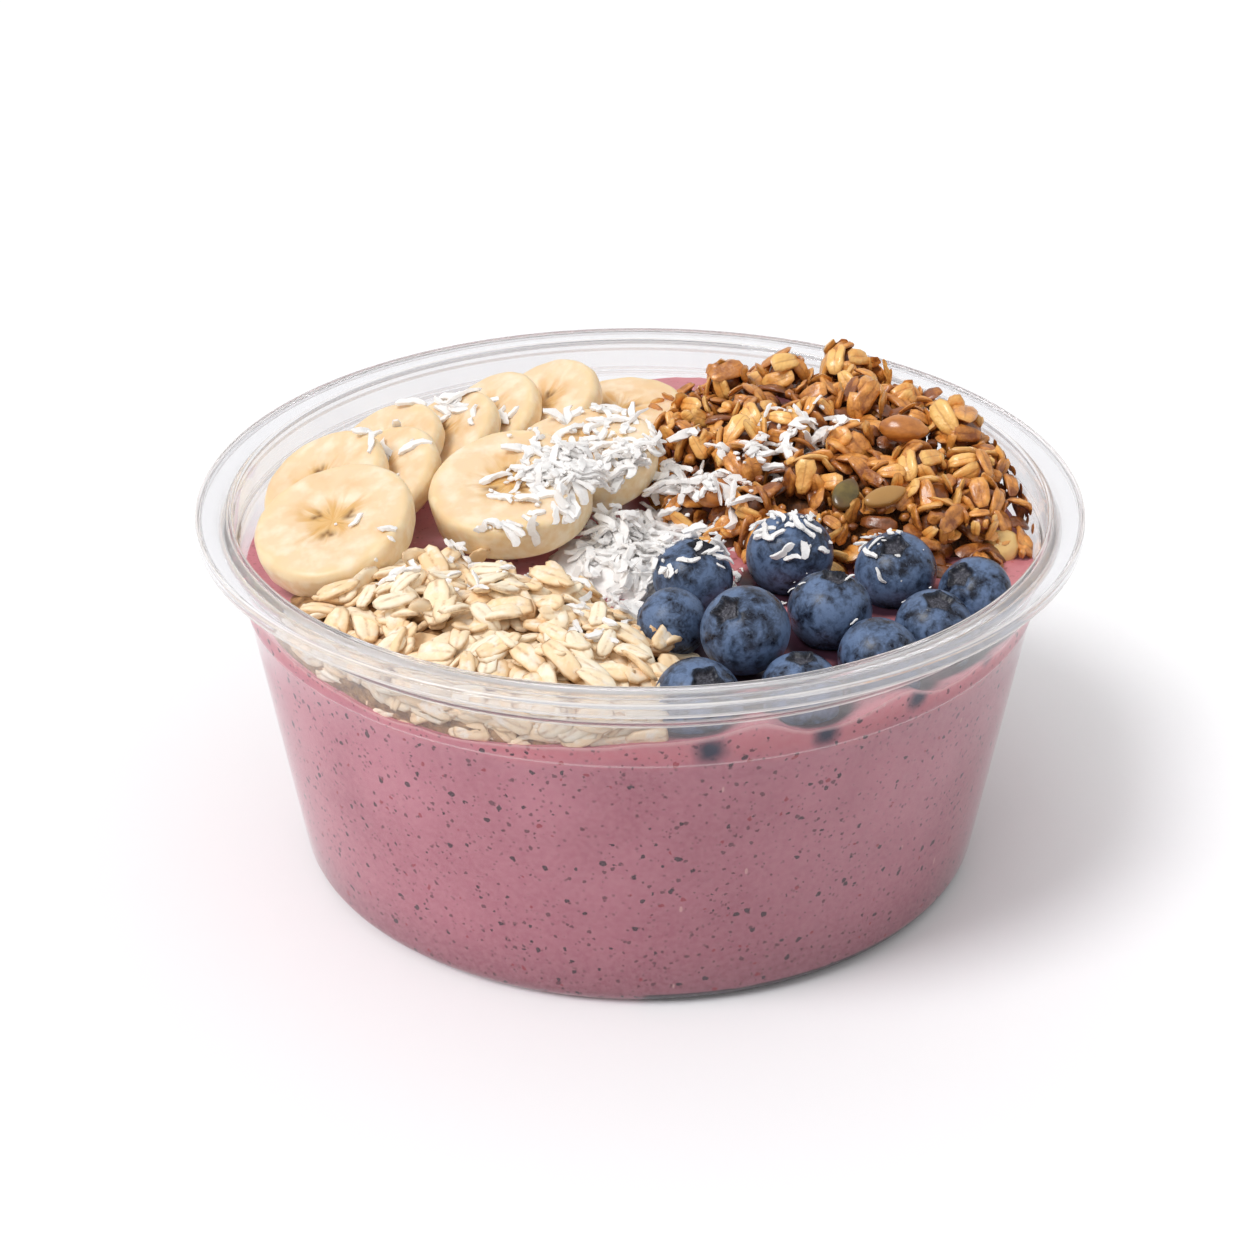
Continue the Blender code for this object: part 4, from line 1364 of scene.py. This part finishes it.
def oat_material(settings):
    """Dry rolled oats: cream faces with floury patches, brown edges and creases, and painted shade on
    flakes deep in the heap.
    """
    finish = Finish("oat_flakes")
    tone = finish.attribute("tone")
    _, y, z = finish.parts(finish.attribute("place", "Vector"))
    mottled = finish.noise(520, 4, 0.6)
    blend = finish.plus(tone, finish.range(mottled, 0.3, 0.7, -0.3, 0.3))
    colour = finish.over(settings.golden, settings.pale, blend, 0.1, 0.9)
    # Painted shade: flakes with a low tone, deep in the heap, go towards the bran colour
    colour = finish.over(colour, settings.bran_and_shade, tone, 0.1, -0.7)
    crease = finish.range(finish.maths("ABSOLUTE", y), 0.24, 0.0, 0.0, 0.6, smooth=True)
    crease = finish.times(crease, finish.range(mottled, 0.40, 0.60))
    colour = finish.mix(finish.times(crease, finish.range(z, 0.1, 0.5)), colour, settings.bran_and_shade)
    edge = finish.range(finish.maths("ABSOLUTE", z), 0.6, 0.0, 0.0, 0.8, smooth=True)
    edge = finish.times(edge, finish.range(mottled, 0.35, 0.6))
    colour = finish.mix(edge, colour, settings.bran_and_shade)
    flour = finish.range(finish.noise(300, 3, 0.6), 0.50, 0.64, 0.0, 0.7)
    flour = finish.times(flour, finish.range(z, 0.3, 0.8))
    colour = finish.mix(flour, colour, srgb(255, 248, 236))
    finish.set(Base_Color=colour, Roughness=0.6, Specular_IOR_Level=0.35)
    finish.bump(finish.noise(1500, 3, 0.6), 0.35, 0.2 * MM)
    return finish.material


class ACAI_OT_oats(bpy.types.Operator):
    """Build the heap of rolled oats, also where it shows through the wall"""
    bl_idname = "acai.oats"
    bl_label = "Rolled oats"

    def execute(self, context):
        settings = context.scene.acai_oats
        painted_shade_core = painted_shade_core_material("oats_core", srgb(190, 148, 100), srgb(124, 86, 52))
        add_piece(mound_core(OATS, "oats_core", 0.8 * MM, 4 * MM, 3.2), painted_shade_core, "oats")
        rng = random.Random(52)
        flakes = []
        for _ in range(14):
            length = settings.length * rng.uniform(0.82, 1.12)
            width = length * rng.uniform(0.38, 0.58)
            thickness = rng.uniform(1.0, 1.4) * MM
            crease = rng.uniform(0.1, 0.5)
            curl = rng.uniform(-0.10, 0.12)
            flakes.append(flake_shape(rng, length, width, thickness, crease, curl, 0.25))
        material = oat_material(settings)
        self.stack(settings, rng, flakes, material)
        self.at_wall(settings, rng, flakes, material)
        return {"FINISHED"}

    def stack(self, settings, rng, flakes, material):
        """Layers of flakes, each laid on what is there already."""
        heap = Heap()
        ground = scene_tree("oats_core", "smoothie")
        trees = [ground]
        for _ in range(settings.layers):
            for spot in over_mound(OATS, settings.flakes // settings.layers, rng, 4.0, 1.03):
                found = mound_top(OATS, spot.x, spot.y)
                under = highest(trees, spot)
                bare = (spot - BARE_CENTRE).length < BARE_RADIUS
                if not found or not under or bare or under[0].z > found[0].z + 1.5 * MM:
                    continue
                if spot.length > inner_radius(under[0].z) - 3 * MM:
                    continue
                normal = (under[1] + found[1] + UP * 0.5).normalized()
                shape = rng.choice(flakes)
                place = pose(under[0] + normal * 0.4 * MM, normal, any_turn(rng), rng.gauss(0, 0.34),
                             any_turn(rng), rng.uniform(0.85, 1.1))
                heap.add(shape, place, rng.uniform(0, 1))
            trees = [ground, heap.tree()]
        heap.paint_depth_shade(OATS, 4 * MM, 0.5)
        add_piece(heap.mesh("oat_flakes", 0.5 * MM), material, "oats")

    def at_wall(self, settings, rng, flakes, material):
        """Flakes pressed on the inside of the wall, between the smoothie and the ledge."""
        heap = Heap()
        for _ in range(settings.wall_flakes):
            azimuth = rng.uniform(*WALL_OATS)
            edge = around(azimuth, inner_radius(SMOOTHIE_LEVEL))
            z = rng.uniform(level(edge.x, edge.y) - 0.8 * MM, LEDGE_HEIGHT + 2 * MM)
            spot = around(azimuth, inner_radius(z) - rng.uniform(0.8, 2.0) * MM).to_3d() + UP * z
            normal = (around(azimuth, 1).to_3d() + UP * 0.1).normalized()
            shape = rng.choice(flakes)
            place = wall_pose(spot, normal, rng.gauss(0, 0.45), rng.gauss(0, 0.2), rng.uniform(0.75, 1.0))
            heap.add(shape, place, rng.uniform(0, 1))
        add_piece(heap.mesh("oat_flakes_at_wall", 0.02 * MM), material, "oats")


# Coconut

# Patches of loose shreds: centre and half sizes in plan, how many, and how they lie
Patch = namedtuple("Patch", "x y along across turn count lean size", defaults=(1.0,))
PATCHES = (
    Patch(-4, -8, 17, 13, -25, 130, 0.4),
    Patch(0, 11, 10, 9, 0, 90, 0.5),
    Patch(-4, -8, 16, 12, -25, 110, 0.5),
    Patch(-8, -1, 9, 9, 0, 80, 0.5),
    Patch(2, 6, 12, 12, 0, 80, 0.5),
    Patch(-22, -17, 13, 4, 0, 46, 0.5),
    Patch(-1, -24, 7, 7, 0, 40, 0.5),
    Patch(-16, 3, 12, 14, 0, 105, 0.35, 0.95),
    Patch(-5, 25, 12, 11, 0, 76, 0.35, 0.95),
    Patch(9, 17, 7, 12, 0, 60, 0.5),
    Patch(34, 27, 9, 6, -10, 46, 0.5),
    Patch(22, 17, 8, 7, 0, 40, 0.5),
    Patch(14, 6, 11, 8, 60, 60, 0.5),
    Patch(17, -14, 14, 6, 5, 46, 0.45, 0.75),
    Patch(34, -17, 10, 6, 0, 30, 0.45, 0.7),
    Patch(8, -28, 9, 8, 0, 22, 0.4, 0.75),
    Patch(43, -21, 6, 5, 0, 10, 0.35, 0.6),
    Patch(28, -28, 26, 22, 0, 46, 0.3, 0.3),
    Patch(-24, -37, 26, 12, -30, 40, 0.35, 0.85),
    Patch(-50, 18, 9, 14, 20, 16, 0.25),
    Patch(-53, -21, 6, 5, 0, 2, 0.2, 0.8),
    Patch(-36, 42, 12, 9, 0, 22, 0.25),
    Patch(-64, -30, 7, 3, -50, 16, 0.3, 0.5),
)


def coconut_material(settings):
    """Dry shredded coconut, white with a faint grain."""
    finish = Finish("coconut")
    colour = finish.over(settings.shade, settings.colour, finish.noise(900, 3, 0.6), 0.35, 0.65)
    finish.set(Base_Color=colour, Roughness=0.65, Subsurface_Weight=0.35, Subsurface_Scale=1.2 * MM,
               Subsurface_Radius=(1.0, 0.95, 0.95), Specular_IOR_Level=0.4)
    finish.bump(finish.noise(1800, 2), 0.3, 0.15 * MM)
    return finish.material


class ACAI_OT_coconut(bpy.types.Operator):
    """Scatter shredded coconut: a drift in the middle and loose shreds on the toppings"""
    bl_idname = "acai.coconut"
    bl_label = "Shredded coconut"

    def execute(self, context):
        settings = context.scene.acai_coconut
        material = coconut_material(settings)
        add_piece(mound_core(COCONUT, "coconut_core", 1.0 * MM, 2.5 * MM, 1.0), material, "coconut")
        rng = random.Random(63)
        length = settings.length
        shreds = [shred_shape(rng, length * rng.uniform(0.5, 1.3), rng.uniform(1.0, 1.7) * MM,
                              rng.uniform(0.5, 0.8) * MM) for _ in range(28)]
        crumbs = [lump_shape(rng, 1.2 * MM, (1, 0.7, 0.6), 0.6, detail=1) for _ in range(8)]
        ground = scene_tree("smoothie", "banana", "berry", "granola", "oat", "coconut_core")
        heap = Heap()
        trees = [ground]
        for patch in PATCHES:
            turn = Matrix.Rotation(radians(patch.turn), 2)
            for _ in range(patch.count):
                reach = rng.uniform(0, 1.1) ** 0.75
                angle = rng.uniform(0, tau)
                x = patch.along * reach * cos(angle)
                y = patch.across * reach * sin(angle)
                spot = (Vector((patch.x, patch.y)) + turn @ Vector((x, y))) * MM
                found = highest(trees, spot)
                if not found or found[1].z < 0.2 or spot.length > SHRED_REACH:
                    continue
                hit, normal = found
                shape = rng.choice(crumbs) if rng.random() < 0.22 else rng.choice(shreds)
                normal = (normal + UP * 0.6).normalized()
                lift = rng.uniform(0.2, 0.8) * MM
                heap.add(shape, pose(hit + normal * lift, normal, any_turn(rng),
                         rng.gauss(0, patch.lean), any_turn(rng), rng.uniform(0.8, 1.2) * patch.size))
            trees = [ground, heap.tree()]
        add_piece(heap.mesh("coconut_shreds"), material, "coconut", sharp=40)
        return {"FINISHED"}


# Stage

# The floor's half width and its gap under the bowl, the main light's width and way, and the
# point that the camera looks at
FLOOR_REACH = 40.0
FLOOR_GAP = 0.05 * MM
KEY_ANGLE = radians(22)
KEY_WAY = Vector((0.50, 0.28, -0.82))
AIM = Vector((-1.863, 0, 42.31)) * MM


def white_room(settings):
    """A plain white room, brighter overhead than at the sides."""
    world = bpy.data.worlds.new("white_room")
    world.use_nodes = True
    tree = world.node_tree
    place = tree.nodes.new("ShaderNodeTexCoord")
    parts = tree.nodes.new("ShaderNodeSeparateXYZ")
    tree.links.new(place.outputs["Generated"], parts.inputs[0])
    fade = tree.nodes.new("ShaderNodeMapRange")
    fade.inputs["From Min"].default_value = 0.0
    fade.inputs["From Max"].default_value = 0.7
    fade.inputs["To Min"].default_value = settings.horizon
    fade.inputs["To Max"].default_value = settings.sky
    tree.links.new(parts.outputs["Z"], fade.inputs["Value"])
    tree.links.new(fade.outputs[0], tree.nodes["Background"].inputs["Strength"])
    tree.nodes["Background"].inputs["Color"].default_value = (1.0, 1.0, 1.0, 1.0)
    return world


def on_stage(name, data):
    """Adds an object of the stage to the scene."""
    obj = bpy.data.objects.new(name, data)
    bpy.context.scene.collection.objects.link(obj)
    return obj


class ACAI_OT_stage(bpy.types.Operator):
    """Set the pale floor, the soft lights and the camera"""
    bl_idname = "acai.stage"
    bl_label = "Stage"

    def execute(self, context):
        settings = context.scene.acai_stage
        bm = bmesh.new()
        bmesh.ops.create_grid(bm, x_segments=4, y_segments=4, size=FLOOR_REACH)
        plane = on_stage("floor", mesh_from(bm, "floor"))
        finish = Finish("floor")
        shade = finish.mix(finish.noise(3, 2), settings.floor, srgb(248, 248, 250))
        finish.set(Base_Color=shade, Roughness=0.8)
        plane.data.materials.append(finish.material)
        plane.location.z = -FLOOR_GAP
        context.scene.world = white_room(settings)
        light = bpy.data.lights.new("key", "SUN")
        light.energy = settings.key
        light.angle = KEY_ANGLE
        key = on_stage("key", light)
        key.rotation_mode = "QUATERNION"
        key.rotation_quaternion = KEY_WAY.to_track_quat("-Z", "Y")
        back = Vector((0, -cos(settings.elevation), sin(settings.elevation)))
        camera = on_stage("camera", bpy.data.cameras.new("camera"))
        camera.data.lens = settings.lens
        camera.data.clip_start = 0.01
        camera.location = AIM + back * settings.distance
        camera.rotation_mode = "QUATERNION"
        camera.rotation_quaternion = (-back).to_track_quat("-Z", "Y")
        context.scene.camera = camera
        context.scene.view_settings.view_transform = "Standard"
        return {"FINISHED"}


class ACAI_PT_panel(bpy.types.Panel):
    """Lists the bowl's pieces and their settings"""
    bl_idname = "ACAI_PT_panel"
    bl_label = "Acai Bowl"
    bl_space_type = "VIEW_3D"
    bl_region_type = "UI"
    bl_category = "Acai Bowl"

    def draw(self, context):
        for operator, name, group in STEPS:
            box = self.layout.box()
            box.operator(operator.bl_idname)
            for setting in group.__annotations__:
                box.prop(getattr(context.scene, name), setting)


# Build order: each operator with the scene property that holds its settings, and their group
STEPS = (
    (ACAI_OT_bowl, "acai_bowl", BowlSettings),
    (ACAI_OT_smoothie, "acai_smoothie", SmoothieSettings),
    (ACAI_OT_bananas, "acai_banana", BananaSettings),
    (ACAI_OT_blueberries, "acai_berry", BerrySettings),
    (ACAI_OT_granola, "acai_granola", GranolaSettings),
    (ACAI_OT_oats, "acai_oats", OatSettings),
    (ACAI_OT_coconut, "acai_coconut", CoconutSettings),
    (ACAI_OT_stage, "acai_stage", StageSettings),
)


def register():
    for operator, name, group in STEPS:
        bpy.utils.register_class(group)
        setattr(bpy.types.Scene, name, PointerProperty(type=group))
        bpy.utils.register_class(operator)
    bpy.utils.register_class(ACAI_PT_panel)


def unregister():
    bpy.utils.unregister_class(ACAI_PT_panel)
    for operator, name, group in reversed(STEPS):
        bpy.utils.unregister_class(operator)
        delattr(bpy.types.Scene, name)
        bpy.utils.unregister_class(group)


def main():
    register()
    for operator, _, _ in STEPS:
        space, name = operator.bl_idname.split(".")
        getattr(getattr(bpy.ops, space), name)()


if __name__ == "__main__":
    main()
